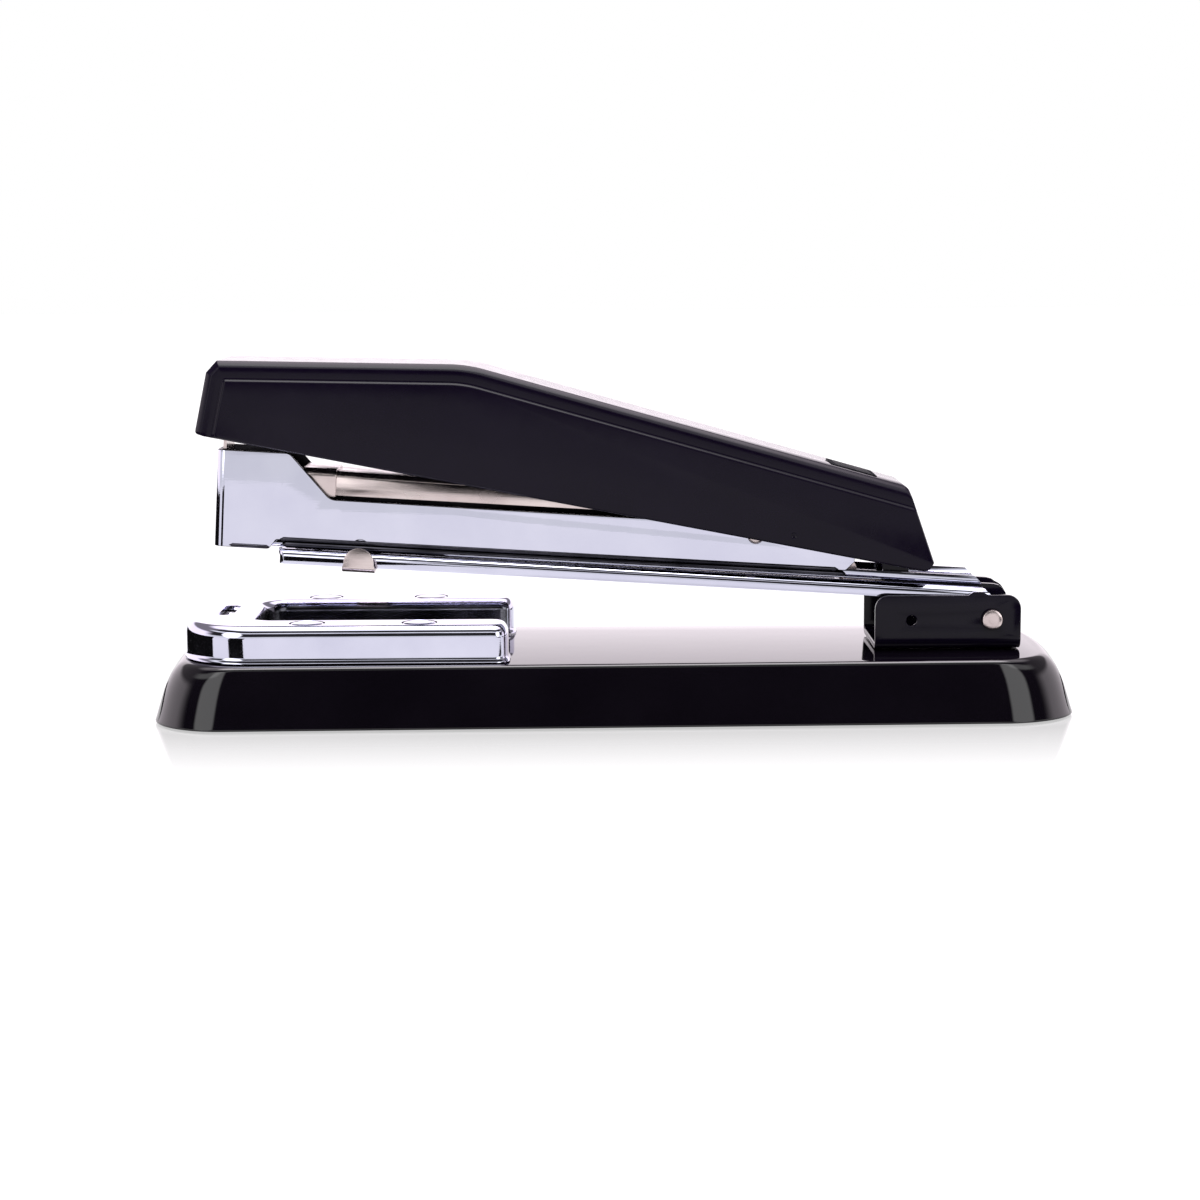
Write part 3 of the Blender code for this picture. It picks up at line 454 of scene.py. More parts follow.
def piece(
    name, mesh, body, slot, nodes=(), place=HEAD, mat=None, smooth_angle=35.0, blend=None, dark=None,
    dark_mat=PAINTED_SHADE_EDGE,
):
    """Puts a millimetre mesh in the row frame as a named piece on its body. Dark picks the faces that get
    dark_mat, a dark finish that paints shade on them.
    """
    mesh.name = name
    mesh.materials.clear()
    mesh.materials.append(mat or SLOT_MATERIALS[slot])
    if dark:
        mesh.materials.append(dark_mat)
        for face in mesh.polygons:
            face.material_index = int(dark(face.center, face.normal))
    mesh.transform(place)
    mesh.shade_smooth()
    mesh.set_sharp_from_angle(angle=math.radians(smooth_angle))
    obj = bpy.data.objects.new(name, mesh)
    bpy.context.scene.collection.objects.link(obj)
    if blend:
        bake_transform(obj)
    else:
        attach(obj, body)
    if nodes:
        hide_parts(*nodes)
    return obj


# ---------------------------------------------------------------- base

def base_ring(end_inset, side_inset, height):
    """Plan of the base: elliptical corners, gently convex ends, and sides that close in to the rear."""
    half_length = 100.0 - end_inset
    half_width = 32.0 - side_inset
    corner_x = 14.0 - end_inset / 2.0
    corner_y = 15.0 - side_inset
    arc_steps = 20
    end_steps = 6
    quarter = []
    for step in range(arc_steps + 1):
        angle = math.pi / 2.0 * step / arc_steps
        x = half_length - corner_x * (1.0 - math.sin(angle))
        quarter.append((x, half_width - corner_y * (1.0 - math.cos(angle))))
    flat = half_width - corner_y
    quarter += [(half_length, flat * (1.0 - step / end_steps)) for step in range(1, end_steps + 1)]
    quarter = [(x - 3.0 * (y / half_width) ** 2, y) for x, y in quarter]
    rear = quarter + [(x, -y) for x, y in reversed(quarter[:-1])]
    loop = rear + [(-x, y) for x, y in reversed(rear)]
    taper = 0.12 / (2.0 * half_length)
    return [(x, y * (1.0 - taper * (x + half_length)), height) for x, y in loop]


def make_base():
    skin = [(7.2, 4.0, 13.4), (6.75, 3.72, 13.36), (6.25, 3.4, 13.2), (5.8, 3.2, 12.98), (5.4, 3.07, 12.72)]
    skin += [(5.0, 3.0, 12.4), (4.3, 2.78, 11.6), (3.65, 2.55, 10.7), (3.05, 2.28, 9.6), (2.5, 2.0, 8.4)]
    skin += [(1.9, 1.6, 6.8), (1.35, 1.15, 5.0), (0.85, 0.74, 3.3), (0.42, 0.38, 1.8), (0.1, 0.1, 0.8)]
    skin += [(0.0, 0.0, 0.5), (0.08, 0.08, 0.3)]
    rings = [base_ring(*ring) for ring in skin]
    inside = [(7.8, 4.8, 12.2), (2.6, 2.4, 4.8), (1.2, 1.2, 0.0), (1.2, 1.2, -1.0)]
    hollow = loft([base_ring(*ring) for ring in inside])
    mesh = shaped(loft(rings), cuts=[("DIFFERENCE", hollow)])
    piece("base_body", mesh, "base", "black_enamel", ["base_shell"], MM, smooth_angle=50.0)


def horseshoe_ring(inset, height):
    """Plan of the anvil frame, open towards the rear."""
    half = 25.5 - inset
    opening = 14.3 + inset
    rear = -22.7 - inset
    outline = rounded(
        [
            (rear, -half, 3.0 - inset * 0.6),
            (rear, -opening, 3.0 - inset * 0.6),
            (-78.0 - inset, -opening, 5.0 + inset),
            (-78.0 - inset, opening, 5.0 + inset),
            (rear, opening, 3.0 - inset * 0.6),
            (rear, half, 3.0 - inset * 0.6),
            (-93.0 + inset, half, 16.0 - inset),
            (-93.0 + inset, -half, 16.0 - inset),
        ],
        steps=14,
    )
    return [(x, y, height) for x, y in outline]


def make_anvil():
    top = ANVIL_TOP
    foot = BASE_TOP
    edge_in = 1.75
    edge_down = 2.7
    rings = []
    for step in range(15):
        angle = math.pi / 2.0 * step / 14.0
        down = edge_down * (1.0 - math.cos(angle))
        rings.append(horseshoe_ring(edge_in * (1.0 - math.sin(angle)), top - down))
    rings += [
        horseshoe_ring(0.0, 15.0),
        horseshoe_ring(-0.04, 14.6),
        horseshoe_ring(-0.16, 14.25),
        horseshoe_ring(-0.34, 14.0),
        horseshoe_ring(-0.42, foot),
    ]
    inside = [(2.2, top - 1.0), (1.2, top - 3.4), (1.2, foot - 1.0)]
    hollow = loft([horseshoe_ring(*ring) for ring in inside])
    slot = block((-86.7, -7.25, top - 2.0), (-83.3, 7.25, top + 1.0))
    for spot in ANVIL_STUDS:
        rod_into(slot, spot, 3.85, 4.0, "Z", 48)
    mesh = shaped(loft(rings), cuts=[("DIFFERENCE", hollow), ("DIFFERENCE", slot)])

    # Painted shade: the inner walls between the legs get dark chrome in place of the shade in the hollow.
    def shaded_inner_wall(centre, normal):
        between_legs = abs(centre.y) < 15.2 and -79.0 < centre.x < -24.0
        return between_legs and abs(normal.z) < 0.5 and centre.z < top - 1.2

    piece(
        "anvil_body", mesh, "base", "bright_chrome", ["anvil_frame"], MM, smooth_angle=42.0,
        dark=shaded_inner_wall, dark_mat=PAINTED_SHADE_CHROME,
    )


def make_anvil_studs():
    head = [(0.0, 0.14), (2.4, 0.12), (3.3, 0.02), (3.55, -0.18), (3.6, -0.5), (3.6, -1.6)]
    shank = [(1.8, -1.6), (1.8, -7.8), (0.0, -7.8)]
    for number, spot in enumerate(ANVIL_STUDS, 1):
        bm = lathe(head + shank, spot, "Z", 56)
        name = f"anvil_rivet_{number}"
        piece(f"anvil_stud_{number}", shaped(bm), "base", "bright_chrome", [name], MM)


def make_clinch_plate():
    """The plate in the anvil's recess, with a round groove for each leg of a staple."""
    grooves = bmesh.new()
    plate_top = ANVIL_TOP - 1.3
    for side in (-1.0, 1.0):
        rod_into(grooves, (-85.0, side * 3.2, plate_top + 1.6), 2.4, 1.6, "X", 48)
    plate = block((-88.5, -9.5, plate_top - 2.0), (-81.5, 9.5, plate_top), 0.3)
    mesh = shaped(plate, cuts=[("DIFFERENCE", grooves)])
    piece("clinch_plate", mesh, "base", "plain_steel", ["anvil_plate"], MM)


def make_bracket():
    floor = BASE_TOP
    wall = 1.3
    profile = channel_profile(12.3 - wall / 2.0, floor + wall / 2.0, 29.0, 1.6)
    bump = PIN_X - 3.0
    side_view = rounded(
        [
            (56.6, floor - 1.0, 0.0),
            (88.2, floor - 1.0, 0.0),
            (88.2, 25.5, 3.0),
            (bump + 2.1, 25.5, 0.6),
            (bump + 1.0, 26.2, 0.6),
            (bump - 1.0, 26.2, 0.6),
            (bump - 2.1, 25.5, 0.6),
            (56.6, 25.5, 3.0),
        ],
        steps=8,
    )
    holes = bmesh.new()
    rod_into(holes, (PIN_X, 0.0, PIN_Z), PIN_RADIUS + GAP, 40.0, "Y")
    rod_into(holes, (64.5, 0.0, 20.0), 1.15, 40.0, "Y")
    for x in BRACKET_RIVETS:
        rod_into(holes, (x, 0.0, floor), 1.5, 6.0, "Z")
    cuts = [("INTERSECT", prism(side_view, -20.0, 20.0)), ("DIFFERENCE", holes)]
    mesh = shaped(sheet(profile, 55.6, 89.2), wall, cuts, bevel=0.22, bevel_steps=3)
    piece("bracket_body", mesh, "base", "black_steel", ["rear_bracket"], MM)


def make_bracket_studs():
    dome = [(0.0, 1.2), (1.0, 1.1), (1.9, 0.78), (2.4, 0.36), (2.6, 0.0)]
    shank = [(1.2, 0.0), (1.2, -1.45), (0.0, -1.45)]
    for number, x in enumerate(BRACKET_RIVETS, 1):
        bm = lathe(dome + shank, (x, 0.0, BASE_TOP + 1.6), "Z", 36)
        piece(f"bracket_stud_{number}", shaped(bm), "base", "black_steel", [f"bracket_rivet_{number}"], MM)


def make_pin():
    """The main pin, with a slightly dished head at each end."""
    reach = 12.6
    half = [(0.0, reach + 0.75), (0.9, reach + 0.8), (1.7, reach + 0.86), (2.1, reach + 0.7)]
    half += [(2.25, reach + 0.35), (2.25, reach), (PIN_RADIUS, reach)]
    profile = half + [(radius, -height) for radius, height in reversed(half)]
    bm = lathe(profile, (PIN_X, 0.0, PIN_Z), "Y", 48)
    piece("pin_body", shaped(bm), "base", "warm_nickel", ["pivot_pin"], MM)


def make_return_spring():
    """Torsion spring on the pin, with one leg on the bracket's floor and the other up under the arm."""
    wire = 0.9
    radius = 2.6
    half_width = 2.4
    low_angle = math.radians(250.0)
    sweep = 8.0 * math.pi + low_angle - math.radians(100.0)
    steps = 130
    coils = []
    for step in range(steps + 1):
        share = step / steps
        angle = low_angle - sweep * share
        y = half_width * (2.0 * share - 1.0)
        coils.append(Vector((radius * math.cos(angle), y, radius * math.sin(angle))))
    low_leg = Vector((-16.0, -half_width, -3.95))
    high_leg = Matrix.Rotation(TILT, 4, "Y") @ Vector((-36.5, half_width, 4.75))
    path = [low_leg, low_leg.lerp(coils[0], 0.5)] + coils
    path += [coils[-1].lerp(high_leg, 0.33), coils[-1].lerp(high_leg, 0.66), high_leg]
    at_pin = Matrix.Translation(PIN) @ MM
    mesh = shaped(tube(path, wire / 2.0, 12))
    start = PIN + Vector((0.0, -0.0023, 0.0))
    end = PIN + Vector((0.0, 0.0023, 0.0))
    piece(
        "return_coil", mesh, None, "spring_steel", ["return_spring"], at_pin, smooth_angle=60.0,
        blend=("base", "arm", start, end),
    )


# ---------------------------------------------------------------- lower arm, clip and staple track

def make_arm():
    """A channel, open downwards, whose flanges end in a round ear on the pin."""
    wall = 1.0
    profile = channel_profile(10.3 - wall / 2.0, 6.5 - wall / 2.0, -6.0, 0.9)
    side_view = [(-160.4, 3.5), (-25.5, 3.5), (-23.5, 3.2), (-14.5, 0.6)]
    side_view += fan(4.4, 245.0, 358.0, 20)
    side_view += [(4.0, 1.8), (-3.4, 7.5), (-160.4, 7.5)]
    nose = rounded([(-155.4, -10.8, 3.2), (20.0, -10.8, 0.0), (20.0, 10.8, 0.0), (-155.4, 10.8, 3.2)], 10)
    openings = block((-33.0, -6.4, 2.0), (12.0, 6.4, 9.0))
    rod_into(openings, (0.0, 0.0, 0.0), PIN_RADIUS + GAP, 40.0, "Y")
    for x in TRACK_RIVETS:
        rod_into(openings, (x, 0.0, 6.5), 1.2, 4.0, "Z", 24)
    cuts = [
        ("INTERSECT", prism(side_view, -15.0, 15.0)),
        ("INTERSECT", prism(nose, -10.0, 12.0, "Z")),
        ("DIFFERENCE", openings),
    ]
    mesh = shaped(sheet(profile, -157.4, 6.0), wall, cuts, bevel=0.14)
    piece("arm_body", mesh, "arm", "bright_chrome", ["lower_arm"])


def make_clip():
    """A strap under the arm, with a round-topped ear at each side."""
    wall = 0.7
    foot = 3.55
    radius = 3.3
    profile = channel_profile(11.3 - wall / 2.0, 2.5 + wall / 2.0, 9.0, 0.8)
    ear = [(CLIP_X - foot, 0.0), (CLIP_X + foot, 0.0), (CLIP_X + foot, 3.6), (CLIP_X + radius, 4.3)]
    ear += fan(radius, 0.0, 180.0, 24, (CLIP_X, 4.5))
    ear += [(CLIP_X - radius, 4.3), (CLIP_X - foot, 3.6)]
    cuts = [("INTERSECT", prism(ear, -15.0, 15.0))]
    mesh = shaped(sheet(profile, -143.0, -132.0), wall, cuts, bevel=0.12)
    piece("clip_body", mesh, "arm", "warm_nickel", ["arm_clip"])


def make_track():
    """The channel that the staples slide in, open upwards."""
    wall = 0.7
    floor = 6.8 + wall / 2.0
    profile = channel_profile(7.4 - wall / 2.0, floor, 15.0, 0.6)
    side_view = [
        (-166.9, 5.8), (-0.6, 5.8), (-3.8, 8.7), (-31.5, 8.7), (-34.0, 13.0), (-166.9, 13.0),
    ]
    openings = block((-33.0, -6.4, 5.0), (6.0, 6.4, 9.0))
    for x in TRACK_RIVETS:
        rod_into(openings, (x, 0.0, floor), 1.2, 4.0, "Z", 24)
    cuts = [("INTERSECT", prism(side_view, -10.0, 10.0)), ("DIFFERENCE", openings)]
    mesh = shaped(sheet(profile, -168.0, 2.0), wall, cuts, bevel=0.10)
    piece("track_body", mesh, "arm", "bright_chrome", ["staple_track"])


def make_track_edge(name, mat, reach, height, radius, front, rear):
    """A round edge along each side of the track, drawn in at its ends."""
    taper = 1.2
    tip = 0.02
    profile = [(0.0, front), (tip, front), (radius, front + taper)]
    profile += [(radius, rear - taper), (tip, rear), (0.0, rear)]
    bm = bmesh.new()
    for side in (-1.0, 1.0):
        lathe(profile, (0.0, side * reach, height), "X", 24, bm)
    piece(name, shaped(bm), "arm", "bright_chrome", smooth_angle=60.0, mat=mat)


def make_staples():
    """A part-used strip. Each staple is a bent wire whose section is a square with cut corners."""
    half = 0.26
    count = 94
    pitch = 50.0 / count
    front = -166.6
    thin = 0.72
    section = [(-1.0, thin), (-thin, 1.0), (thin, 1.0), (1.0, thin)]
    section += [(across, -out) for across, out in reversed(section)]
    outline = channel_profile(6.4 - half, 14.3 - half, 7.8, 0.45, 3)
    bm = bmesh.new()
    for index in range(count):
        x = front + pitch * (index + 0.5)
        rings = []
        for number, (y, z) in enumerate(outline):
            before = outline[max(number - 1, 0)]
            after = outline[min(number + 1, len(outline) - 1)]
            run = Vector((after[0] - before[0], after[1] - before[1])).normalized()
            up = Vector((-run.y, run.x)) * half
            rings.append([(x + half * across, y + up.x * out, z + up.y * out) for across, out in section])
        loft(rings, bm)
    piece("staples", shaped(bm), "arm", "staple_wire", ["staple_strip"])


def make_pusher_spring():
    wire = 0.5
    radius = 1.75
    turns = 16
    per_turn = 16
    start = -103.5
    end = -37.8
    height = 10.8
    count = turns * per_turn
    path = []
    for step in range(count + 1):
        angle = 2.0 * math.pi * step / per_turn
        x = start + (end - start) * step / count
        path.append((x, radius * math.cos(angle), height + radius * math.sin(angle)))
    fixed = HEAD @ Vector((end, 0.0, height))
    moving = HEAD @ Vector((start, 0.0, height))
    piece(
        "pusher_coil", shaped(tube(path, wire / 2.0, 8)), None, "spring_steel", ["pusher_spring"],
        smooth_angle=60.0, blend=("arm", "pusher", fixed, moving),
    )


# ---------------------------------------------------------------- sheath

def make_sheath():
    """The sheath, closed at its front. Its nose reaches lower than its long skirts."""
    half = SHEATH_HALF - SHEATH_WALL / 2.0
    front = -169.5 + SHEATH_WALL / 2.0
    bend = 1.7
    steps = 12
    plan = [(-28.5, -half)]
    for step in range(steps + 1):
        angle = math.pi / 2.0 * step / steps
        plan.append((front + bend * (1.0 - math.sin(angle)), -half + bend * (1.0 - math.cos(angle))))
    plan += [(x, -y) for x, y in reversed(plan)]
    side_view = rounded(
        [
            (-172.5, NOSE_FOOT, 0.0),
            (-157.5, NOSE_FOOT, 0.8),
            (-156.0, SKIRT_FOOT, 0.8),
            (-32.0, SKIRT_FOOT, 1.0),
            (-30.2, 10.4, 0.8),
            (-30.2, 17.1, 1.0),
            (-144.6, 17.7, 3.0),
            (-153.8, 27.3, 2.0),
            (-172.5, 27.3, 0.0),
        ],
        steps=8,
    )
    holes = rod_into(bmesh.new(), SHEATH_RIVET, 1.3, 30.0, "Y", 24)
    rod_into(holes, (CLIP_X, 0.0, 7.5), 1.9, 30.0, "Y", 32)
    cuts = [("INTERSECT", prism(side_view, -12.0, 12.0)), ("DIFFERENCE", holes)]
    mesh = shaped(sheet(plan, 4.3, 31.3, "Z"), SHEATH_WALL, cuts, bevel=0.36, bevel_steps=4)

    def painted_shade_faces(centre, normal):
        """Painted shade: the inside and the cut edges get a near-black finish that stands in for shade and
        dark reflections, but not the round front corners.
        """
        inside = centre.y * normal.y < -1.0
        return inside or abs(normal.z) > 0.12 or (abs(normal.x) > 0.3 and centre.x > -167.0)

    piece("sheath_body", mesh, "sheath", "bright_chrome", ["sheath"], mat=SHEATH_CHROME, dark=painted_shade_faces)


def make_painted_shade_lip():
    """A round lip along the lower edges of the nose and of the skirts, in dark chrome that paints the shade
    under these edges.
    """
    lip = 0.42
    taper = 0.8
    nose = (-166.2, -157.2, NOSE_FOOT + lip)
    skirt = (-155.2, -33.5, SKIRT_FOOT + lip / 2.0)
    bm = bmesh.new()
    for side in (-1.0, 1.0):
        for start, end, height in (nose, skirt):
            profile = [(0.0, start), (lip, start + taper), (lip, end - taper), (0.0, end)]
            lathe(profile, (0.0, side * (SHEATH_HALF + 0.02), height), "X", 16, bm)
    piece("sheath_painted_shade_lip", shaped(bm), "sheath", "bright_chrome", smooth_angle=60.0, mat=SHADED_CHROME)


def make_inner_channel():
    """The channel seen in the sheath's cut-away. Its top rises towards the front."""
    lift = 1.5
    lift_from = -95.0
    front = -144.0
    bend = 0.95
    steps = 8
    profile = [(-6.6, 18.6), (-6.6, 20.7), (-6.42, 20.95)]
    for step in range(steps + 1):
        angle = math.pi / 2.0 * step / steps
        profile.append((-6.42 + bend * (1.0 - math.cos(angle)), 20.95 + bend * math.sin(angle)))
    profile += [(-y, z) for y, z in reversed(profile)]
    holes = rod_into(bmesh.new(), LEAF_RIVET, 1.2, 6.0, "Z", 24)
    mesh = shaped(sheet(profile, front, -48.5), SHEATH_WALL, [("DIFFERENCE", holes)], bevel=0.12)
    for vertex in mesh.vertices:
        if vertex.co.z > 19.5:
            vertex.co.z += lift * max(0.0, (lift_from - vertex.co.x) / (lift_from - front))
    piece("channel_body", mesh, "sheath", "warm_nickel", ["inner_channel"])

    profile = channel_profile(7.2 - SHEATH_WALL / 2.0, 22.75 - SHEATH_WALL / 2.0 + lift, 18.2, 1.3)
    mesh = shaped(sheet(profile, -151.0, -143.6), SHEATH_WALL, bevel=0.14)
    piece("channel_head", mesh, "sheath", "warm_nickel")


def make_sheath_rivet():
    tip = SHEATH_HALF + GAP
    half_rivet = [(0.0, tip + 0.6), (0.7, tip + 0.56), (1.3, tip + 0.4), (1.7, tip + 0.14)]
    half_rivet += [(1.8, tip), (1.0, tip)]
    profile = half_rivet + [(radius, -height) for radius, height in reversed(half_rivet)]
    bm = lathe(profile, SHEATH_RIVET, "Y", 32)
    piece("cross_stud", shaped(bm), "sheath", "warm_nickel", ["sheath_cross_rivet"])


def make_leaf_spring():
    """The spring under the handle, with its rear end on the channel and its front reaching up under the
    handle.
    """
    bottom = 22.9
    root = -63.0
    length = 30.0
    rise = 16.6
    steps = 24
    leaf = [(-50.5, bottom), (LEAF_RIVET[0], bottom), (root, bottom)]
    for step in range(1, steps + 1):
        share = step / steps
        leaf.append((root - length * share, bottom + rise * share ** 1.35))
    hole = rod_into(bmesh.new(), LEAF_RIVET, 1.2, 6.0, "Z", 24)
    mesh = shaped(sheet(leaf, -4.0, 4.0, "Y"), 0.6, [("DIFFERENCE", hole)])
    fixed = HEAD @ Vector((root - 1.0, 0.0, bottom))
    moving = HEAD @ Vector((root - length, 0.0, bottom))
    piece(
        "leaf_spring", mesh, None, "spring_steel", ["main_spring"], blend=("sheath", "handle", fixed, moving)
    )


# ---------------------------------------------------------------- handle

HANDLE_CORNERS = [
    (-174.0, 30.6), (-172.0, 43.9), (-169.8, 46.6), (-116.3, 48.7), (-20.0, 27.6), (-13.4, 11.6),
    (-14.5, 9.5),
]


def handle_ring(y, rim, lower, radii):
    """Side outline at one depth. Rim is the inset of the front and top edges, lower that of the others."""
    insets = [rim, rim, rim, rim, lower * 0.6, lower, lower]
    moved = inset_corners(HANDLE_CORNERS, insets)
    outline = rounded([(x, z, radius) for (x, z), radius in zip(moved, radii)], 10)
    return [(x, y, z) for x, z in outline]


def make_handle():
    outer_radii = (0.8, 0.25, 0.35, 30.0, 2.0, 0.5, 2.0)
    half = 13.0
    wall = 1.5
    sunk = 0.52

    def panel_radii(rim):
        """The panel's front corner is as round as its shortened sloping edge allows."""
        corner = 4.74 - rim
        return (0.8, corner, corner, 30.0 - rim, 1.6, 0.5, 1.6)

    steps = [
        (half, 4.62, 0.60, panel_radii(4.62)),
        (half - 0.05, 4.40, 0.36, panel_radii(4.40)),
        (half - 0.22, 4.20, 0.16, panel_radii(4.20)),
        (half - 0.46, 3.96, 0.06, panel_radii(3.96)),
        (half - sunk, 3.82, 0.04, panel_radii(3.82)),
        (half - sunk, 3.50, 0.02, panel_radii(3.50)),
        (half - sunk, 1.52, 0.01, outer_radii),
        (half - sunk - 0.06, 1.32, 0.0, outer_radii),
        (half - sunk - 1.22, 0.12, 0.0, outer_radii),
        (half - sunk - 1.44, 0.0, 0.0, outer_radii),
    ]
    rings = [handle_ring(-y, rim, lower, radii) for y, rim, lower, radii in steps]
    rings += [handle_ring(y, rim, lower, radii) for y, rim, lower, radii in reversed(steps)]
    cavity = [
        (-172.4, 20.0), (-172.4, 30.0), (-170.4, 43.2), (-168.9, 45.0), (-116.2, 47.1),
        (-21.2, 26.3), (-15.3, 11.5), (-12.0, 11.5), (-12.0, 0.0), (-60.0, 0.0),
    ]
    cutter = prism(cavity, wall - half, half - wall)
    for side in (-1.0, 1.0):
        pit = [(0.0, 0.6), (0.9, 0.6), (0.7, 0.0), (0.35, -0.22), (0.0, -0.3)]
        profile = [(radius, height * side) for radius, height in pit]
        lathe(profile, (-44.1, side * half, 15.9), "Y", 24, cutter)
    mesh = shaped(loft(rings), cuts=[("DIFFERENCE", cutter)])
    piece("handle_body", mesh, "handle", "handle_black", ["handle_cover"], smooth_angle=28.0)


def make_label():
    """A plain plate with a plain border, on the handle's sloping roof."""
    (front_x, front_z), (rear_x, rear_z) = HANDLE_CORNERS[3:5]
    slope = math.atan((rear_z - front_z) / (rear_x - front_x))
    label_x = -31.5
    roof = front_z + (label_x - front_x) * math.tan(slope)
    place = HEAD @ Matrix.Translation((label_x, 0.0, roof)) @ Matrix.Rotation(-slope, 4, "Y")
    rim = rounded([(-5.2, -7.0, 0.5), (5.2, -7.0, 0.5), (5.2, 7.0, 0.5), (-5.2, 7.0, 0.5)])
    mesh = shaped(prism(rim, 0.03, 0.22, "Z"), bevel=0.05)
    piece("label_border", mesh, "handle", "handle_black", place=place, mat=INK)
    face = rounded([(-4.0, -5.6, 0.3), (4.0, -5.6, 0.3), (4.0, 5.6, 0.3), (-4.0, 5.6, 0.3)])
    mesh = shaped(prism(face, 0.10, 0.27, "Z"), bevel=0.04)
    piece("label_face", mesh, "handle", "blank_label", ["blank_plate"], place)


def finish_frame_nodes():
    """Gives every CAD node that still shows the finish of its slot."""
    finishes = (
        (RUBBER, "sole_pad"),
        (STEEL, "pivot_bushing_near pivot_bushing_far track_rivet_1 track_rivet_2"),
        (STEEL, "staple_guide guide_rod rear_stop spring_rivet frame_rivet_1 frame_rivet_2"),
        (PLASTIC, "pusher driver_retainer"),
        (NICKEL, "sheath_hinge driver_blade"),
        (BLACK_STEEL, "handle_frame"),
    )
    for mat, names in finishes:
        for name in names.split():
            mesh = frame["nodes"][name].data
            mesh.materials.clear()
            mesh.materials.append(mat)


# ---------------------------------------------------------------- studio

def make_world():
    """White to the camera. Reflections see a bright room behind, a dark one in front, and soft boxes."""
    scene = bpy.context.scene
    world = bpy.data.worlds.new("studio")
    scene.world = world
    world.use_nodes = True
    tree = world.node_tree
    tree.nodes.clear()
    new = tree.nodes.new
    link = tree.links.new

    def ramp(value, stops, tone=(1.0, 1.0, 1.0)):
        node = new("ShaderNodeValToRGB")
        node.color_ramp.interpolation = "EASE"
        while len(node.color_ramp.elements) < len(stops):
            node.color_ramp.elements.new(0.5)
        for element, (position, level) in zip(node.color_ramp.elements, stops):
            element.position = position
            element.color = (*(level * part for part in tone), 1.0)
        link(value, node.inputs["Fac"])
        return node.outputs["Color"]

    coordinates = new("ShaderNodeTexCoord")
    parts = new("ShaderNodeSeparateXYZ")
    link(coordinates.outputs["Generated"], parts.inputs[0])
    _, y, z = parts.outputs

    brightest = 10.0
    back = ramp(
        z,
        [
            (0.0, 0.165), (0.30, 0.165), (0.40, 0.03), (0.66, 0.03), (0.80, 0.20), (0.88, 0.20), (0.94, 1.0),
        ],
        tone=(1.03, 0.94, 1.01),
    )
    front = ramp(
        z,
        [
            (0.0, 0.104), (0.11, 0.104), (0.15, 0.003), (0.44, 0.003), (0.48, 0.14), (0.53, 0.14),
            (0.57, 0.004), (0.72, 0.004), (0.84, 0.25), (0.90, 0.25), (0.95, 1.0),
        ],
    )
    share = new("ShaderNodeMapRange")
    share.interpolation_type = "SMOOTHSTEP"
    share.inputs["From Min"].default_value = -0.30
    share.inputs["From Max"].default_value = 0.05
    link(y, share.inputs["Value"])
    mix = new("ShaderNodeMix")
    mix.data_type = "RGBA"
    link(share.outputs["Result"], mix.inputs["Factor"])
    link(front, mix.inputs["A"])
    link(back, mix.inputs["B"])
    level = mix.outputs["Result"]

    glow = new("ShaderNodeMath")
    glow.operation = "ADD"
    for index, side in enumerate((-1.0, 1.0)):
        dot = new("ShaderNodeVectorMath")
        dot.operation = "DOT_PRODUCT"
        link(coordinates.outputs["Generated"], dot.inputs[0])
        dot.inputs[1].default_value = Vector((side * 0.60, -0.74, 0.30)).normalized()
        spot = new("ShaderNodeMapRange")
        spot.interpolation_type = "SMOOTHSTEP"
        spot.inputs["From Min"].default_value = 0.950
        spot.inputs["From Max"].default_value = 0.975
        spot.inputs["To Max"].default_value = 0.22
        link(dot.outputs["Value"], spot.inputs["Value"])
        link(spot.outputs["Result"], glow.inputs[index])
    total = new("ShaderNodeMix")
    total.data_type = "RGBA"
    total.blend_type = "ADD"
    total.inputs["Factor"].default_value = 1.0
    link(level, total.inputs["A"])
    link(glow.outputs[0], total.inputs["B"])

    studio = new("ShaderNodeBackground")
    studio.inputs["Strength"].default_value = brightest
    link(total.outputs["Result"], studio.inputs["Color"])
    white = new("ShaderNodeBackground")
    white.inputs["Color"].default_value = (1.0, 1.0, 1.0, 1.0)
    path = new("ShaderNodeLightPath")
    choose = new("ShaderNodeMixShader")
    link(path.outputs["Is Camera Ray"], choose.inputs["Fac"])
    link(studio.outputs[0], choose.inputs[1])
    link(white.outputs[0], choose.inputs[2])
    output = new("ShaderNodeOutputWorld")
    link(choose.outputs[0], output.inputs["Surface"])


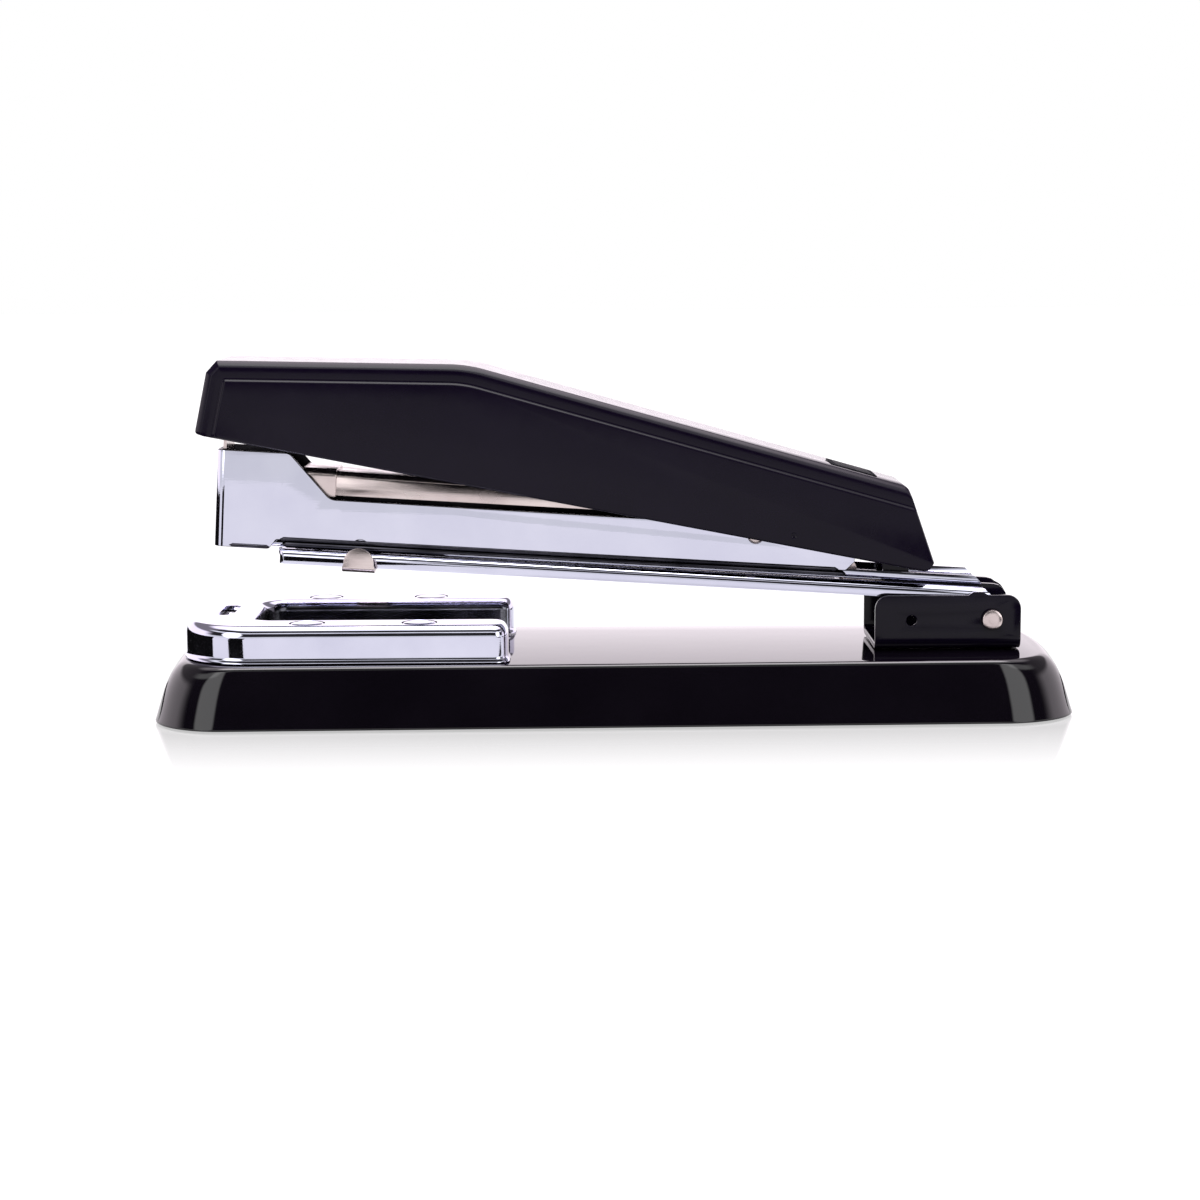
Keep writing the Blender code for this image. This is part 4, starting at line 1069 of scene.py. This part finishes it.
def make_floor():
    """A pale glossy floor. Its reflection fades out a short way from the base."""
    size = 3.0
    footprint = (0.098, 0.030, 0.0)
    shine = 0.42
    fade_length = 0.062
    mesh = bpy.data.meshes.new("floor")
    corners = [(-size, -size, 0), (size, -size, 0), (size, size, 0), (-size, size, 0)]
    mesh.from_pydata(corners, [], [(0, 1, 2, 3)])
    floor = bpy.data.objects.new("floor", mesh)
    floor.location.z = -0.0002
    bpy.context.scene.collection.objects.link(floor)

    mat = bpy.data.materials.new("floor_gloss")
    mat.use_nodes = True
    tree = mat.node_tree
    tree.nodes.clear()
    new = tree.nodes.new
    link = tree.links.new
    coordinates = new("ShaderNodeTexCoord")
    away = new("ShaderNodeVectorMath")
    away.operation = "ABSOLUTE"
    link(coordinates.outputs["Object"], away.inputs[0])
    past = new("ShaderNodeVectorMath")
    past.operation = "SUBTRACT"
    past.inputs[1].default_value = footprint
    link(away.outputs["Vector"], past.inputs[0])
    kept = new("ShaderNodeVectorMath")
    kept.operation = "MAXIMUM"
    kept.inputs[1].default_value = (0.0, 0.0, 0.0)
    link(past.outputs["Vector"], kept.inputs[0])
    length = new("ShaderNodeVectorMath")
    length.operation = "LENGTH"
    link(kept.outputs["Vector"], length.inputs[0])
    fade = new("ShaderNodeMapRange")
    fade.inputs["From Min"].default_value = 0.0
    fade.inputs["From Max"].default_value = fade_length
    fade.inputs["To Min"].default_value = shine
    fade.inputs["To Max"].default_value = 0.0
    link(length.outputs["Value"], fade.inputs["Value"])

    glow = new("ShaderNodeEmission")
    glow.inputs["Strength"].default_value = 0.92
    paper = new("ShaderNodeBsdfDiffuse")
    paper.inputs["Color"].default_value = (0.12, 0.12, 0.12, 1.0)
    both = new("ShaderNodeAddShader")
    link(glow.outputs[0], both.inputs[0])
    link(paper.outputs[0], both.inputs[1])
    gloss = new("ShaderNodeBsdfGlossy")
    gloss.inputs["Roughness"].default_value = 0.03
    mix = new("ShaderNodeMixShader")
    link(fade.outputs["Result"], mix.inputs["Fac"])
    link(both.outputs[0], mix.inputs[1])
    link(gloss.outputs[0], mix.inputs[2])
    output = new("ShaderNodeOutputMaterial")
    link(mix.outputs[0], output.inputs["Surface"])
    mesh.materials.append(mat)


def make_floor_cards():
    """Black velvet on the floor at both sides. Only reflections see it, as dark bands in the chrome."""
    centre_x, centre_y, lift = 0.085, -0.012, 0.0004
    near, far = 0.105, 1.5
    sectors = ((17.0, 40.0), (68.0, 150.0))
    steps = 8
    mat = bpy.data.materials.new("velvet")
    mat.use_nodes = True
    shader = mat.node_tree.nodes["Principled BSDF"]
    shader.inputs["Base Color"].default_value = (0.002, 0.002, 0.002, 1.0)
    shader.inputs["Specular IOR Level"].default_value = 0.0
    for side in (-1.0, 1.0):
        for number, (first, last) in enumerate(sectors, 1):
            arcs = []
            for radius in (near, far):
                for step in range(steps + 1):
                    angle = math.radians(first + (last - first) * step / steps)
                    x = side * (centre_x + radius * math.sin(angle))
                    arcs.append((x, centre_y - radius * math.cos(angle), lift))
            outer = steps + 1
            faces = [(step, step + 1, step + outer + 1, step + outer) for step in range(steps)]
            name = f"floor_card_{'left' if side < 0.0 else 'right'}_{number}"
            mesh = bpy.data.meshes.new(name)
            mesh.from_pydata(arcs, [], faces)
            mesh.materials.append(mat)
            card = bpy.data.objects.new(name, mesh)
            bpy.context.scene.collection.objects.link(card)
            card.visible_camera = False
            card.visible_diffuse = False
            card.visible_shadow = False
            card.visible_transmission = False


def make_camera():
    data = bpy.data.cameras.new("camera")
    data.lens = 76.7
    data.sensor_width = 36.0
    data.clip_start = 0.01
    camera = bpy.data.objects.new("camera", data)
    bpy.context.scene.collection.objects.link(camera)
    place = Matrix.Translation((-0.003, -0.560, 0.103))
    pitch = Matrix.Rotation(math.radians(90.0 - 8.1), 4, "X")
    roll = Matrix.Rotation(math.radians(-0.4), 4, "Z")
    camera.matrix_world = place @ pitch @ roll
    bpy.context.scene.camera = camera


make_base()
make_anvil()
make_anvil_studs()
make_clinch_plate()
make_bracket()
make_bracket_studs()
make_pin()
make_return_spring()
make_arm()
make_clip()
make_track()
# The beads are dark chrome that paints the shade along the track under the sheath; the lines are bright
# chrome.
make_track_edge("track_shade_beads", SHADED_CHROME, reach=7.15, height=7.52, radius=0.92, front=-155.0, rear=-31.5)
make_track_edge("track_lines", CHROME, reach=8.04, height=7.05, radius=0.22, front=-119.5, rear=-24.0)
make_staples()
make_pusher_spring()
make_sheath()
make_painted_shade_lip()
make_inner_channel()
make_sheath_rivet()
make_leaf_spring()
make_handle()
make_label()
finish_frame_nodes()
make_world()
make_floor()
make_floor_cards()
make_camera()
bpy.context.scene.view_settings.view_transform = "Standard"
